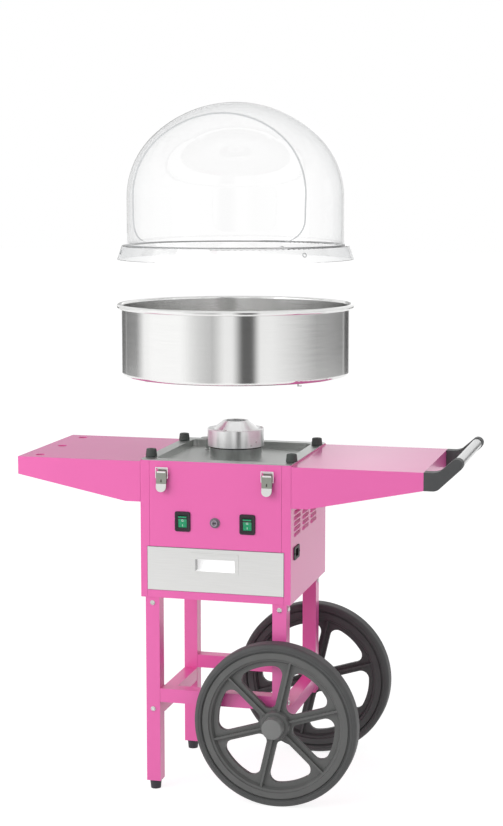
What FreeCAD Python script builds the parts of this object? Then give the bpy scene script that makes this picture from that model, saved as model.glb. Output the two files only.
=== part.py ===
import FreeCAD, Part
import math
import os
import re
import Sketcher
from FreeCAD import Placement, Rotation, Vector

# Electric candy-floss machine on a two-wheeled cart, in millimetres.
# +X points to the push handle, +Y to the rear, +Z up, and the floor is at Z = 0.
# The spinner's axis is the cart's own centre line: every piece is drawn about it and then
# moved sideways, so that the whole cart is centred between its left shelf and its handle.
# The bowl and the dome are lifted off, straight above the places where they seat.

SIZES = {
    # housing
    "sheet_gauge": (1.5, "thickness of the painted sheet steel"),
    "seam_gap": (0.4, "gap between panels of the housing"),
    "housing_width": (332, "housing, side to side"),
    "housing_depth": (345, "housing, front to rear"),
    "housing_bottom": (431, "underside of the housing"),
    "housing_top": (730, "top edge of the housing panels"),
    "front_return": (20, "width of the side panel's fold beside the front panel"),
    "rear_return": (16, "width of the side panel's fold at the rear"),
    "panel_lip": (12, "depth of the folded lips of the front panel"),
    "vent_width": (55, "length of a side vent slot"),
    "vent_height": (5, "height of a side vent slot"),
    "vent_pitch_up": (12, "rise from one vent slot to the next"),
    "vent_pitch_along": (79, "distance between columns of vent slots"),
    "vent_rows": (6, "vent slots in a column"),
    "vent_low": (576, "middle of the lowest vent slot"),
    "vent_front": (-111, "middle of the front column of vent slots"),
    # tray on top of the housing
    "tray_flange": (26, "width of the tray's flat edge"),
    "tray_recess": (15, "depth of the tray's recess"),
    "tray_corner": (10, "outer corner radius of the tray"),
    "tray_inner_corner": (16, "corner radius of the recess"),
    "post_x": (156, "rubber posts, sideways from the axis"),
    "post_y": (124, "rubber posts, forwards and rearwards of the axis"),
    "post_base_radius": (12.5, "rubber post at its foot"),
    "post_top_radius": (10.8, "rubber post at its top"),
    "post_height": (16.5, "rubber post, foot to top"),
    "stud_x": (90.5, "stud behind the spinner, leftwards of the axis"),
    "stud_y": (90, "stud behind the spinner, rearwards of the axis"),
    "stud_height": (29.5, "stud above the tray's floor"),
    "stud_radius": (16, "disc of the stud"),
    "stud_stem_radius": (3, "stem of the stud"),
    # shelves and handle
    "shelf_length": (280, "shelf, housing to its end"),
    "shelf_top": (727, "top of the shelves"),
    "shelf_end_drop": (38.5, "height of the shelf's end"),
    "shelf_root_drop": (88, "height of the shelf beside the housing"),
    "shelf_root_flat": (34, "level stretch of the shelf's lower edge"),
    "stick_hole_radius": (10.5, "holes for the sticks"),
    "stick_hole_inset": (38, "stick holes, in from the shelf's end"),
    "stick_hole_pitch": (137, "distance between stick holes"),
    "handle_reach": (68, "middle of the handle tube, out from the shelf's end"),
    "handle_height": (744.5, "middle of the handle tube above the floor"),
    "handle_radius": (11, "outside of the handle tube"),
    "handle_wall": (2, "wall of the handle tube"),
    "collar_radius": (12.5, "outside of the bracket's collar"),
    "bracket_width": (26, "handle bracket, front to rear"),
    "bracket_socket": (18, "depth of the socket that holds the tube"),
    "bracket_foot": (24, "level stretch of the bracket's lower edge"),
    # frame
    "leg_x": (141, "middle of the legs, sideways"),
    "leg_front_y": (155, "middle of the front legs, forwards"),
    "leg_rear_y": (134, "middle of the rear legs, rearwards"),
    "leg_size": (31, "side of the square leg tube"),
    "leg_wall": (2, "wall of the leg tube"),
    "glide_height": (20, "rubber glide under a left leg"),
    "glide_radius": (13, "rubber glide, at its widest"),
    "axle_leg_drop": (19.2, "lower end of the right legs, below the axle"),
    "rail_size": (30, "side of the square rail tube"),
    "rail_wall": (1.5, "wall of the rail tube"),
    "side_rail_bottom": (167.3, "underside of the left and right rails"),
    "cross_rail_bottom": (198.5, "underside of the front and rear rails"),
    "spigot_length": (25, "spigot of the housing inside a leg"),
    "spigot_gap": (0.3, "play between spigot and leg"),
    "bolt_head_radius": (5.5, "head of a frame bolt"),
    "bolt_head_height": (3.6, "head of a frame bolt"),
    "bolt_radius": (3, "shank of a frame bolt"),
    # wheels
    "wheel_radius": (177.2, "tyre, axle to floor"),
    "wheel_width": (42, "tyre, side to side"),
    "tyre_depth": (16, "tyre, from tread to rim"),
    "tyre_shoulder": (9, "rounding of the tyre's edges"),
    "rim_inner_radius": (141, "inner edge of the rim"),
    "rim_width": (39, "rim, side to side"),
    "web_width": (11, "web that holds the spokes, side to side"),
    "rib_width": (5, "thickness of the rib on a spoke"),
    "rib_span": (25, "ribs of both faces, side to side"),
    "hub_radius": (30, "outside of the hub"),
    "window_radius": (127.5, "outer edge of the windows between spokes"),
    "spoke_half": (10.8, "half the width of a spoke"),
    "window_inner_round": (15, "inner corner of a window"),
    "window_outer_round": (18, "outer corners of a window"),
    "spoke_count": (6, "spokes"),
    "spoke_phase": (17, "turn of the spokes from level, degrees"),
    "axle_radius": (8, "axle"),
    "axle_play": (0.05, "radial play of a wheel on the axle"),
    "wheel_front_y": (194.5, "middle plane of the front wheel, forwards"),
    "wheel_rear_y": (189, "middle plane of the rear wheel, rearwards"),
    "side_play": (0.4, "end play beside a wheel"),
    "hub_cap_radius": (22.5, "hub cap"),
    "hub_cap_depth": (24, "hub cap, out from the hub"),
    # drawer
    "drawer_sill": (16.5, "strip under the drawer"),
    "drawer_opening": (96, "height of the drawer's opening"),
    "drawer_margin": (14.5, "fold beside the drawer's opening"),
    "drawer_play": (0.9, "gap round the drawer's front"),
    "drawer_proud": (1, "drawer's front stands out by this"),
    "drawer_half_width": (138, "outside of the drawer's tray from the axis"),
    "drawer_length": (280, "drawer's tray, front to rear"),
    "drawer_lift": (18.5, "underside of the drawer's tray above the base plate"),
    "drawer_wall_height": (84, "walls of the drawer's tray"),
    "drawer_gauge": (1.2, "sheet of the drawer's tray"),
    "drawer_lip": (10, "depth of the folds at the ends of the drawer's front"),
    "drawer_front_wall": (20, "wall of the drawer's tray behind the front"),
    "runner_foot": (20, "foot of a runner on the base plate"),
    "runner_shelf": (12, "part of a runner that is under the drawer"),
    "runner_guide": (11, "part of a runner beside the drawer"),
    "slide_gap": (0.4, "gap between drawer and runners"),
    "pull_width": (104, "frame of the drawer's pull"),
    "pull_height": (44, "frame of the drawer's pull"),
    "pull_middle": (64.1, "middle of the pull's frame above the strip under the drawer"),
    "grip_width": (87, "opening of the pull"),
    "grip_height": (26, "opening of the pull"),
    "grip_middle": (4.1, "middle of the pull's opening, under the middle of its frame"),
    "grip_depth": (18, "depth of the pull"),
    "pull_gauge": (1.2, "frame of the pull before the drawer's front"),
    "cup_wall": (1.5, "wall of the pull's cup"),
    "cup_play": (0.5, "gap round the pull's cup"),
    # controls
    "control_height": (600.3, "middle of the switches above the floor"),
    "switch_x": (71.5, "middle of a switch, sideways"),
    "bezel_width": (34, "switch frame"),
    "bezel_height": (43, "switch frame"),
    "bezel_proud": (2.5, "switch frame stands out by this"),
    "switch_body_width": (28, "switch body behind the panel"),
    "switch_body_height": (37, "switch body behind the panel"),
    "switch_body_depth": (22, "switch body behind the panel"),
    "switch_hole_play": (0.3, "gap round a switch body"),
    "bezel_corner": (4, "corner radius of the switch frame"),
    "rocker_well": (10, "depth of the well that the rocker is in"),
    "rocker_width": (18.5, "rocker"),
    "rocker_height": (24.4, "rocker"),
    "rocker_tilt": (6, "rest tilt of the rocker, degrees"),
    "rocker_play": (0.45, "gap round the rocker"),
    "rocker_pivot": (2, "rocker's pivot behind the panel's face"),
    "rocker_pin_radius": (1.2, "pin of the rocker"),
    "rocker_pin_reach": (1.4, "pin of the rocker beside it"),
    "rocker_reach": (5.2, "ends of the rocker's face out from its pivot"),
    "rocker_hollow": (1.6, "hollow in the middle of the rocker's face"),
    "rocker_back": (5, "back of the rocker behind its pivot"),
    "pin_play": (0.05, "radial play of a small pin"),
    "fuse_radius": (11, "fuse holder's flange"),
    "fuse_cap_radius": (7.6, "fuse cap"),
    "fuse_flange": (2, "flange of the fuse holder before the panel"),
    "fuse_barrel": (26, "barrel of the fuse holder behind the panel"),
    "fuse_well": (14, "hole of the fuse holder behind the panel's face"),
    "fuse_plug_radius": (5.5, "part of the cap that is in the holder"),
    "fuse_plug_play": (0.05, "radial play of the cap in the holder"),
    "fuse_cap_gap": (0.4, "gap between the cap and the flange"),
    "fuse_cap_height": (3.6, "cap before the flange"),
    "fuse_grip_depth": (1.8, "depth of the grip flats"),
    "latch_x": (116, "middle of a latch, sideways"),
    "latch_pin_height": (704, "lever's pin above the floor"),
    "latch_pin_out": (7, "lever's pin, out from the panel"),
    "latch_half_width": (11.2, "outside of the lever from its middle"),
    "latch_gauge": (1.2, "sheet of a latch"),
    "latch_plate_half": (9.8, "half the width of the latch's plate"),
    "latch_plate_drop": (22, "latch's plate below the lever's pin"),
    "latch_plate_rise": (7, "latch's plate above the lever's pin"),
    "latch_ear_round": (2.5, "rounding of the ears round the pin"),
    "latch_pin_radius": (1.3, "lever's pin"),
    "lever_out": (4, "face of the lever out from its pin"),
    "lever_rise": (3.5, "lever above its pin"),
    "lever_flange_drop": (16, "sides of the lever below its pin"),
    "keyhole_width": (2.4, "slot in the lever"),
    "keyhole_middle": (16, "slot in the lever below its pin"),
    "keyhole_length": (6, "slot in the lever"),
    "bail_wire": (1.1, "radius of the bail's wire"),
    "bail_drop": (10, "bail's ends below the lever's pin"),
    "bail_length": (22, "bail, from its ends to its top"),
    "bail_gap": (0.7, "gap between the bail and the lever's sides"),
    "lever_drop": (39, "lever's tab below its pin"),
    "inlet_y": (-122, "middle of the power inlet"),
    "inlet_height": (536, "middle of the power inlet above the floor"),
    "inlet_half_width": (25, "half the width of the inlet's flange"),
    "inlet_half_height": (14, "half the height of the inlet's flange"),
    "inlet_proud": (2.2, "flange of the inlet stands out by this"),
    "inlet_shoulder": (1.5, "flange of the inlet round its body"),
    "inlet_play": (0.3, "gap round the inlet's body"),
    "inlet_depth": (20, "inlet's body behind the panel"),
    "socket_half_width": (12.2, "half the width of the inlet's socket"),
    "socket_half_height": (8.2, "half the height of the inlet's socket"),
    "socket_depth": (14, "socket behind the panel's face"),
    "blade_pitch": (13, "distance between the outer blades"),
    "blade_length": (10, "blade in the socket"),
    # spinner
    "pedestal_radius": (57, "pedestal under the spinner"),
    "pedestal_top": (741, "top of the pedestal"),
    "pedestal_wall": (3, "wall of the pedestal"),
    "pedestal_bore": (20, "hole in the pedestal's top"),
    "seal_width": (11, "black ring, inside to outside"),
    "seal_overhang": (2, "black ring beyond the pedestal"),
    "seal_height": (2.7, "black ring on the pedestal"),
    "drum_radius": (62.5, "spinner drum"),
    "drum_height": (38, "spinner drum"),
    "drum_wall": (3, "wall of the spinner drum"),
    "drum_floor": (3.5, "floor of the drum"),
    "drum_roof": (3, "top of the drum"),
    "heater_gap": (5, "gap between the heater and the drum's wall"),
    "heater_gauge": (1.5, "ribbon of the heater"),
    "heater_low": (9, "foot of the ribbon above the drum's underside"),
    "heater_height": (21, "ribbon of the heater"),
    "heater_posts": (3, "posts that carry the ribbon"),
    "cone_base_radius": (50, "foot of the cone"),
    "cone_top_radius": (29, "top of the cone"),
    "cone_height": (17, "cone above the drum"),
    "sugar_hole_radius": (22, "hole for the sugar"),
    "sugar_tube_wall": (1.5, "wall of the tube below the cone"),
    "sugar_tube_depth": (9, "tube below the drum's top"),
    "shaft_radius": (6, "spinner shaft"),
    "shaft_play": (0.05, "radial play of the shaft in the motor"),
    "shaft_depth": (40, "shaft in the motor"),
    "nut_height": (5.5, "nut on the shaft"),
    "nut_reach": (4.5, "nut beyond the shaft"),
    "collar_reach": (5, "collar of the shaft under the drum"),
    "shaft_collar_height": (2, "collar of the shaft under the drum"),
    "tray_bore_gap": (14, "gap between the shaft and the tray's hole"),
    "spin_gap": (0.4, "gap between the spinner and what stands still"),
    "motor_radius": (46, "motor"),
    "motor_length": (94, "motor"),
    "motor_nose_length": (8, "bearing boss under the motor"),
    "bracket_gauge": (3, "plate that carries the motor"),
    "bracket_half_width": (75, "half the plate, side to side"),
    "bracket_half_depth": (55, "half the plate, front to rear"),
    "bracket_bore": (20, "hole in the plate"),
    # bowl
    "bowl_radius": (249.6, "outside of the bowl's wall"),
    "bowl_height": (156.2, "bowl, underside to rim"),
    "bowl_gauge": (1.2, "sheet of the bowl"),
    "bowl_corner": (8, "rounding between wall and bottom"),
    "bowl_bead_radius": (5.5, "rolled rim"),
    "bowl_hole_radius": (92, "hole round the spinner"),
    "bowl_lip_height": (10, "lip round the bowl's hole"),
    "bowl_lift": (153.6, "bowl above its seat on the posts"),
    "hook_across": (164, "hooks, sideways from the axis"),
    "hook_along": (107, "hooks, forwards and rearwards"),
    "hook_drop": (11, "hook below the bowl"),
    "hook_reach": (9, "hook, out from its stem"),
    "hook_gauge": (2, "sheet of a hook"),
    "hook_width": (8, "hook, front to rear"),
    # dome
    "dome_radius": (236, "outside of the dome's upright wall"),
    "dome_wall": (3, "thickness of the dome"),
    "dome_upright": (102, "upright wall above the flange"),
    "dome_shoulder": (184, "shoulder radius"),
    "dome_crown": (259, "crown radius"),
    "flange_height": (30, "skirt of the dome"),
    "flange_top_radius": (248.5, "skirt at its top"),
    "skirt_inset": (2, "foot of the skirt, in from the outside of the bowl's rim"),
    "dome_lift": (96.2, "dome above its seat on the bowl's rim"),
    "cut_front": (141, "upright edge of the dome's opening, forwards of the axis"),
    "cut_sill": (11, "lower edge of the dome's opening above the flange"),
    "cut_corner": (50, "lower corner of the dome's opening"),
    "cut_bend": (850, "radius of the upright edge's backward curve"),
}

# Named formulas of those sizes
HALF_WIDTH = "(housing_width / 2)"
HALF_DEPTH = "(housing_depth / 2)"
SHELF_END = "(housing_width / 2 + shelf_length)"
TRAY_TOP = "(housing_top + sheet_gauge)"
TRAY_FLOOR = "(housing_top + sheet_gauge - tray_recess)"
SILL_TOP = "(housing_bottom + drawer_sill)"
OPENING_TOP = "(housing_bottom + drawer_sill + drawer_opening)"
PULL_LEVEL = "(%s + pull_middle)" % SILL_TOP
GRIP_LEVEL = "(%s - grip_middle)" % PULL_LEVEL
OPENING_HALF = "(housing_width / 2 - drawer_margin)"
FRONT_HALF = "(housing_width / 2 - front_return - seam_gap)"
BASE_TOP = "(housing_bottom + sheet_gauge)"
DRAWER_BOTTOM = "(housing_bottom + sheet_gauge + drawer_lift)"
DRUM_BOTTOM = "(pedestal_top + seal_height + spin_gap)"
DRUM_TOP = "(pedestal_top + seal_height + spin_gap + drum_height)"
BOWL_BOTTOM = "(housing_top + sheet_gauge + post_height + bowl_lift)"
SPIGOT_LEVEL = "(housing_bottom - spigot_length / 2)"
SIDE_RAIL_LEVEL = "(side_rail_bottom + rail_size / 2)"
CROSS_RAIL_LEVEL = "(cross_rail_bottom + rail_size / 2)"
AXLE_LEG_END = "(wheel_radius - axle_leg_drop)"
MOTOR_TOP = "(housing_top - tray_recess - bracket_gauge)"
BOWL_RIM = "(bowl_radius + 2 * bowl_bead_radius - bowl_gauge / 2)"
DOME_BOTTOM = "(housing_top + sheet_gauge + post_height + bowl_lift + bowl_height + dome_lift)"
TUBE_X = "(housing_width / 2 + shelf_length + handle_reach)"
SIDE_SHIFT = "-(handle_reach + collar_radius) / 2"

# Legs: label, middle across and along, side (left -1, right 1) and end (front -1, rear 1)
LEGS = (
    ("leg_front_left", "-leg_x", "-leg_front_y", -1, -1),
    ("leg_rear_left", "-leg_x", "leg_rear_y", -1, 1),
    ("leg_front_right", "leg_x", "-leg_front_y", 1, -1),
    ("leg_rear_right", "leg_x", "leg_rear_y", 1, 1),
)

NAME = re.compile(r"[a-z_]+")
LEFT_TURN = 1
RIGHT_TURN = -1
PLANE_ROLES = {"XY": "XY_Plane", "XZ": "XZ_Plane", "YZ": "YZ_Plane"}

doc = FreeCAD.newDocument("candy_floss_cart")
sheet = doc.addObject("Spreadsheet::Sheet", "Sizes")
kept = []


def write_sheet():
    """Writes every driving size into the sheet, with its meaning beside it."""
    for row, (name, (value, meaning)) in enumerate(SIZES.items(), start=1):
        sheet.set("A%d" % row, meaning)
        sheet.set("B%d" % row, str(value))
        sheet.setAlias("B%d" % row, name)
    doc.recompute()


def linked(formula):
    """The formula with each size written as a cell of the sheet."""
    return NAME.sub(lambda word: "Sizes." + word.group() if word.group() in SIZES else word.group(), formula)


def value(formula):
    """The number that a formula of sizes comes to."""
    return float(sheet.evalExpression(linked(formula)))


def bind(thing, setting, formula):
    """Ties one setting of an object to a formula of sizes."""
    thing.setExpression(setting, linked(formula))


# Sketches -------------------------------------------------------------------------------

def arc_between(start, end, radius, turn):
    """The short arc from start to end, turning left or right on its way."""
    chord = end - start
    rise = math.sqrt(max(radius ** 2 - (chord.Length / 2) ** 2, 0))
    sideways = Vector(-chord.y, chord.x, 0).normalize()
    centre = start + chord / 2 + sideways * rise * turn
    first, last = (start, end) if turn == LEFT_TURN else (end, start)
    angles = [math.atan2(point.y - centre.y, point.x - centre.x) for point in (first, last)]
    return Part.ArcOfCircle(Part.Circle(centre, Vector(0, 0, 1), radius), *angles)


def outline(*corners):
    """A closed loop. A corner is (x, y), or (x, y, radius, turn) where an arc leads to the next one."""
    def draw(drawing):
        count = len(corners)
        points = [Vector(value(corner[0]), value(corner[1]), 0) for corner in corners]
        first = drawing.GeometryCount
        ends = []
        for index, corner in enumerate(corners):
            start, end = points[index], points[(index + 1) % count]
            if len(corner) == 2:
                drawing.addGeometry(Part.LineSegment(start, end))
                ends.append((1, 2))
            else:
                drawing.addGeometry(arc_between(start, end, value(corner[2]), corner[3]))
                ends.append((1, 2) if corner[3] == LEFT_TURN else (2, 1))
        for index, corner in enumerate(corners):
            edge = first + index
            after = (index + 1) % count
            drawing.addConstraint(
                Sketcher.Constraint("Coincident", edge, ends[index][1], first + after, ends[after][0]))
            pin(drawing, "DistanceX", (-1, 1, edge, ends[index][0]), corner[0])
            pin(drawing, "DistanceY", (-1, 1, edge, ends[index][0]), corner[1])
            if len(corner) > 2:
                pin(drawing, "Radius", (edge,), corner[2])
    return draw


def pin(drawing, kind, places, formula):
    """One driving constraint of a sketch, tied to its formula."""
    number = drawing.addConstraint(Sketcher.Constraint(kind, *places, value(formula)))
    if NAME.search(formula):
        drawing.setExpression("Constraints[%d]" % number, linked(formula))


def rectangle(left, low, right, high):
    """A rectangle by its four sides."""
    return outline((left, low), (right, low), (right, high), (left, high))


def rounded(left, low, right, high, radius):
    """A rectangle with four round corners."""
    return outline(
        ("%s + %s" % (left, radius), low),
        ("%s - %s" % (right, radius), low, radius, LEFT_TURN),
        (right, "%s + %s" % (low, radius)),
        (right, "%s - %s" % (high, radius), radius, LEFT_TURN),
        ("%s - %s" % (right, radius), high),
        ("%s + %s" % (left, radius), high, radius, LEFT_TURN),
        (left, "%s - %s" % (high, radius)),
        (left, "%s + %s" % (low, radius), radius, LEFT_TURN))


def circle(across, up, radius):
    """A round loop by its centre and radius."""
    def draw(drawing):
        centre = Vector(value(across), value(up), 0)
        edge = drawing.addGeometry(Part.Circle(centre, Vector(0, 0, 1), value(radius)))
        pin(drawing, "DistanceX", (-1, 1, edge, 3), across)
        pin(drawing, "DistanceY", (-1, 1, edge, 3), up)
        pin(drawing, "Radius", (edge,), radius)
    return draw


def sketch(body, plane, lift, loops):
    """A sketch on one of the body's own planes, lifted off it along the plane's normal."""
    drawing = body.newObject("Sketcher::SketchObject", body.Label + "_sketch")
    origin = [item for item in body.Origin.OriginFeatures if item.Role == PLANE_ROLES[plane]]
    drawing.AttachmentSupport = [(origin[0], "")]
    drawing.MapMode = "FlatFace"
    bind(drawing, "AttachmentOffset.Base.z", lift)
    for draw in loops:
        draw(drawing)
    return drawing


# Features -------------------------------------------------------------------------------

def new_body(label, across="0", along="0", up="0"):
    """An empty body, kept for export, whose own origin stands at the given place."""
    body = doc.addObject("PartDesign::Body", label)
    body.Label = label
    place(body, across, along, up)
    kept.append(body)
    return body


def place(thing, across="0", along="0", up="0"):
    """Places a piece given from the spinner's axis and the floor."""
    bind(thing, "Placement.Base.x", "%s + %s" % (across, SIDE_SHIFT))
    bind(thing, "Placement.Base.y", along)
    bind(thing, "Placement.Base.z", up)


def add_between(body, plane, low, high, *loops):
    """Pads the loops from low to high, measured along the axis square to the plane."""
    lift = "-(%s)" % high if plane == "XZ" else low
    feature = body.newObject("PartDesign::Pad", body.Label + "_pad")
    feature.Profile = sketch(body, plane, lift, loops)
    bind(feature, "Length", "(%s) - (%s)" % (high, low))
    doc.recompute()
    return feature


def cut_between(body, plane, low, high, *loops):
    """Pockets the loops from low to high, measured along the axis square to the plane."""
    lift = "-(%s)" % low if plane == "XZ" else high
    feature = body.newObject("PartDesign::Pocket", body.Label + "_pocket")
    feature.Profile = sketch(body, plane, lift, loops)
    bind(feature, "Length", "(%s) - (%s)" % (high, low))
    doc.recompute()
    return feature


def revolve(body, plane, *loops):
    """Turns the loops once round the sketch's upright axis."""
    feature = body.newObject("PartDesign::Revolution", body.Label + "_turned")
    drawing = sketch(body, plane, "0", loops)
    feature.Profile = drawing
    feature.ReferenceAxis = (drawing, ["V_Axis"])
    feature.Angle = 360
    doc.recompute()
    return feature


def repeat_round(body, feature, role, count):
    """Repeats a feature evenly round one of the body's axes."""
    pattern = body.newObject("PartDesign::PolarPattern", body.Label + "_pattern")
    axis = [item for item in body.Origin.OriginFeatures if item.Role == role]
    pattern.Originals = [feature]
    pattern.Axis = (axis[0], [""])
    pattern.Angle = 360
    bind(pattern, "Occurrences", count)
    body.Tip = pattern
    doc.recompute()
    return pattern


def repeat_up(body, feature, pitch, count):
    """Repeats a feature upwards at an even pitch."""
    pattern = body.newObject("PartDesign::LinearPattern", body.Label + "_rows")
    axis = [item for item in body.Origin.OriginFeatures if item.Role == "Z_Axis"]
    pattern.Originals = [feature]
    pattern.Direction = (axis[0], [""])
    bind(pattern, "Length", "%s * (%s - 1)" % (pitch, count))
    bind(pattern, "Occurrences", count)
    body.Tip = pattern
    doc.recompute()
    return pattern


def group(label, members):
    """Keeps several separate solids as one named piece, placed like any other."""
    compound = doc.addObject("Part::Compound", label)
    compound.Label = label
    compound.Links = members
    place(compound)
    kept.append(compound)
    return compound


def primitive(kind, sizes, across, along, up, turn=None):
    """A Part primitive with bound sizes, placed from the spinner's axis and the floor."""
    solid = doc.addObject(kind, "solid")
    for setting, formula in sizes.items():
        bind(solid, setting, formula)
    if turn:
        solid.Placement = Placement(Vector(), turn)
    bind(solid, "Placement.Base.x", across)
    bind(solid, "Placement.Base.y", along)
    bind(solid, "Placement.Base.z", up)
    return solid


def shaped(label, shape):
    """Keeps a piece whose shape was worked out directly from the sheet's values."""
    feature = doc.addObject("Part::Feature", label)
    feature.Label = label
    feature.Shape = shape
    feature.Placement = Placement(Vector(value(SIDE_SHIFT), 0, 0), Rotation())
    bind(feature, "Placement.Base.x", SIDE_SHIFT)
    kept.append(feature)
    return feature


def span(sign, inner, outer):
    """The low and high ends of a stretch that lies on the right (1) or left (-1) side."""
    if sign > 0:
        return inner, outer
    return "-(%s)" % outer, "-(%s)" % inner


def turned_shape(points, axis_point, axis_direction):
    """A solid turned from a flat outline given as points."""
    face = Part.Face(Part.makePolygon(points + points[:1]))
    return face.revolve(axis_point, axis_direction, 360)


# Housing --------------------------------------------------------------------------------

def side_panel(side, sign):
    """A folded side panel with three columns of vent slots and returns at front and rear."""
    body = new_body("side_panel_" + side)
    low, high = span(sign, HALF_WIDTH + " - sheet_gauge", HALF_WIDTH)
    add_between(body, "YZ", low, high,
                rectangle("-" + HALF_DEPTH, "housing_bottom", HALF_DEPTH, "housing_top"))
    mirrored = "%d * " % sign
    add_between(body, "XZ", "-" + HALF_DEPTH, "-%s + sheet_gauge" % HALF_DEPTH, outline(
        (mirrored + HALF_WIDTH, "housing_bottom"),
        (mirrored + HALF_WIDTH, "housing_top"),
        (mirrored + "(%s - front_return)" % HALF_WIDTH, "housing_top"),
        (mirrored + "(%s - front_return)" % HALF_WIDTH, OPENING_TOP),
        (mirrored + OPENING_HALF, OPENING_TOP),
        (mirrored + OPENING_HALF, "housing_bottom")))
    left, right = span(sign, HALF_WIDTH + " - rear_return", HALF_WIDTH)
    add_between(body, "XZ", HALF_DEPTH + " - sheet_gauge", HALF_DEPTH,
                rectangle(left, "housing_bottom", right, "housing_top"))
    for column in range(3):
        middle = "(vent_front + %d * vent_pitch_along)" % column
        slot = cut_between(body, "YZ", low, high, rectangle(
            middle + " - vent_width / 2", "vent_low - vent_height / 2",
            middle + " + vent_width / 2", "vent_low + vent_height / 2"))
        repeat_up(body, slot, "vent_pitch_up", "vent_rows")
    if sign > 0:
        wide = "(inlet_half_width - inlet_shoulder + inlet_play)"
        tall = "(inlet_half_height - inlet_shoulder - inlet_play)"
        cut_between(body, "YZ", low, high, rectangle(
            "inlet_y - " + wide, "inlet_height - " + tall, "inlet_y + " + wide, "inlet_height + " + tall))


def rear_panel():
    """The flat rear panel, held behind the side panels' rear returns."""
    body = new_body("rear_panel")
    edge = "(%s - sheet_gauge - seam_gap)" % HALF_WIDTH
    add_between(body, "XZ", HALF_DEPTH + " - 2 * sheet_gauge", HALF_DEPTH + " - sheet_gauge",
                rectangle("-" + edge, BASE_TOP, edge, "housing_top"))


def front_panel():
    """The control panel, with folded lips and cut-outs for the switches and the fuse holder."""
    body = new_body("front_panel")
    front = "-" + HALF_DEPTH
    switch_holes = []
    for sign in (-1, 1):
        middle = "%d * switch_x" % sign
        switch_holes.append(rectangle(
            middle + " - switch_body_width / 2 - switch_hole_play",
            "control_height - switch_body_height / 2 - switch_hole_play",
            middle + " + switch_body_width / 2 + switch_hole_play",
            "control_height + switch_body_height / 2 + switch_hole_play"))
    add_between(body, "XZ", front, front + " + sheet_gauge",
                rectangle("-" + FRONT_HALF, OPENING_TOP, FRONT_HALF, "housing_top"),
                circle("0", "control_height", "fuse_cap_radius"), *switch_holes)
    for sign in (-1, 1):
        low, high = span(sign, FRONT_HALF + " - sheet_gauge", FRONT_HALF)
        add_between(body, "XZ", front, front + " + panel_lip",
                    rectangle(low, OPENING_TOP, high, "housing_top"))
    add_between(body, "XZ", front, front + " + panel_lip",
                rectangle("-" + FRONT_HALF, OPENING_TOP, FRONT_HALF, OPENING_TOP + " + sheet_gauge"))


def base_plate():
    """The floor of the housing, with the sill under the drawer and the spigots that enter the legs."""
    body = new_body("base_plate")
    edge = "(%s - sheet_gauge)" % HALF_WIDTH
    add_between(body, "XY", "housing_bottom", BASE_TOP, rectangle(
        "-" + edge, "-%s + sheet_gauge" % HALF_DEPTH, edge, HALF_DEPTH + " - sheet_gauge"))
    lip = "(%s - seam_gap)" % OPENING_HALF
    add_between(body, "XZ", "-" + HALF_DEPTH, "-%s + sheet_gauge" % HALF_DEPTH,
                rectangle("-" + lip, "housing_bottom", lip, SILL_TOP))
    outer = "(leg_size / 2 - leg_wall - spigot_gap)"
    inner = "(leg_size / 2 - 2 * leg_wall - spigot_gap)"
    for leg_place in LEGS:
        across, along = leg_place[1:3]
        add_between(body, "XY", "housing_bottom - spigot_length", "housing_bottom",
                    centred(across, along, outer), centred(across, along, inner))
        drill(body, leg_place, "3 * leg_wall", (SPIGOT_LEVEL,), (SPIGOT_LEVEL,))


def centred(across, along, half):
    """A square loop by its middle and half its side."""
    return centred_pair(across, along, half, half)


def centred_pair(across, along, half_across, half_along):
    """A rectangular loop by its middle and half of each side."""
    return rectangle("%s - %s" % (across, half_across), "%s - %s" % (along, half_along),
                     "%s + %s" % (across, half_across), "%s + %s" % (along, half_along))


def top_tray():
    """The pressed steel tray: a flat edge with round corners round a shallow recess."""
    body = new_body("top_tray")
    add_between(body, "XY", "housing_top", TRAY_TOP,
                rounded("-" + HALF_WIDTH, "-" + HALF_DEPTH, HALF_WIDTH, HALF_DEPTH, "tray_corner"))
    wide = "(%s - tray_flange)" % HALF_WIDTH
    deep = "(%s - tray_flange)" % HALF_DEPTH
    gauge = "sheet_gauge"
    add_between(body, "XY", TRAY_FLOOR + " - " + gauge, "housing_top", rounded(
        "-%s - %s" % (wide, gauge), "-%s - %s" % (deep, gauge),
        "%s + %s" % (wide, gauge), "%s + %s" % (deep, gauge), "tray_inner_corner"))
    cut_between(body, "XY", TRAY_FLOOR, TRAY_TOP,
                rounded("-" + wide, "-" + deep, wide, deep, "(tray_inner_corner - sheet_gauge)"))
    cut_between(body, "XY", TRAY_FLOOR + " - " + gauge, TRAY_FLOOR,
                circle("0", "0", "shaft_radius + tray_bore_gap"))


def rubber_posts():
    """The four rubber posts that the bowl rests on."""
    posts = []
    for across in ("-post_x", "post_x"):
        for along in ("-post_y", "post_y"):
            posts.append(primitive("Part::Cone", {
                "Radius1": "post_base_radius", "Radius2": "post_top_radius", "Height": "post_height"},
                across, along, TRAY_TOP))
    group("rubber_posts", posts)


def tray_stud():
    """The flat disc on a stem that stands behind the spinner's left side."""
    body = new_body("tray_stud", "-stud_x", "stud_y", TRAY_FLOOR)
    stem = "stud_stem_radius"
    revolve(body, "XZ", outline(
        ("0", "0"), ("2 * " + stem, "0"), ("2 * " + stem, "stud_stem_radius / 2"), (stem, "stud_stem_radius"),
        (stem, "stud_height - stud_radius / 4"), ("stud_radius", "stud_height - stud_radius / 6"),
        ("stud_radius - 1", "stud_height - 0.8"), ("stud_radius / 2", "stud_height"), ("0", "stud_height")))


# Shelves and handle ---------------------------------------------------------------------

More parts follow.
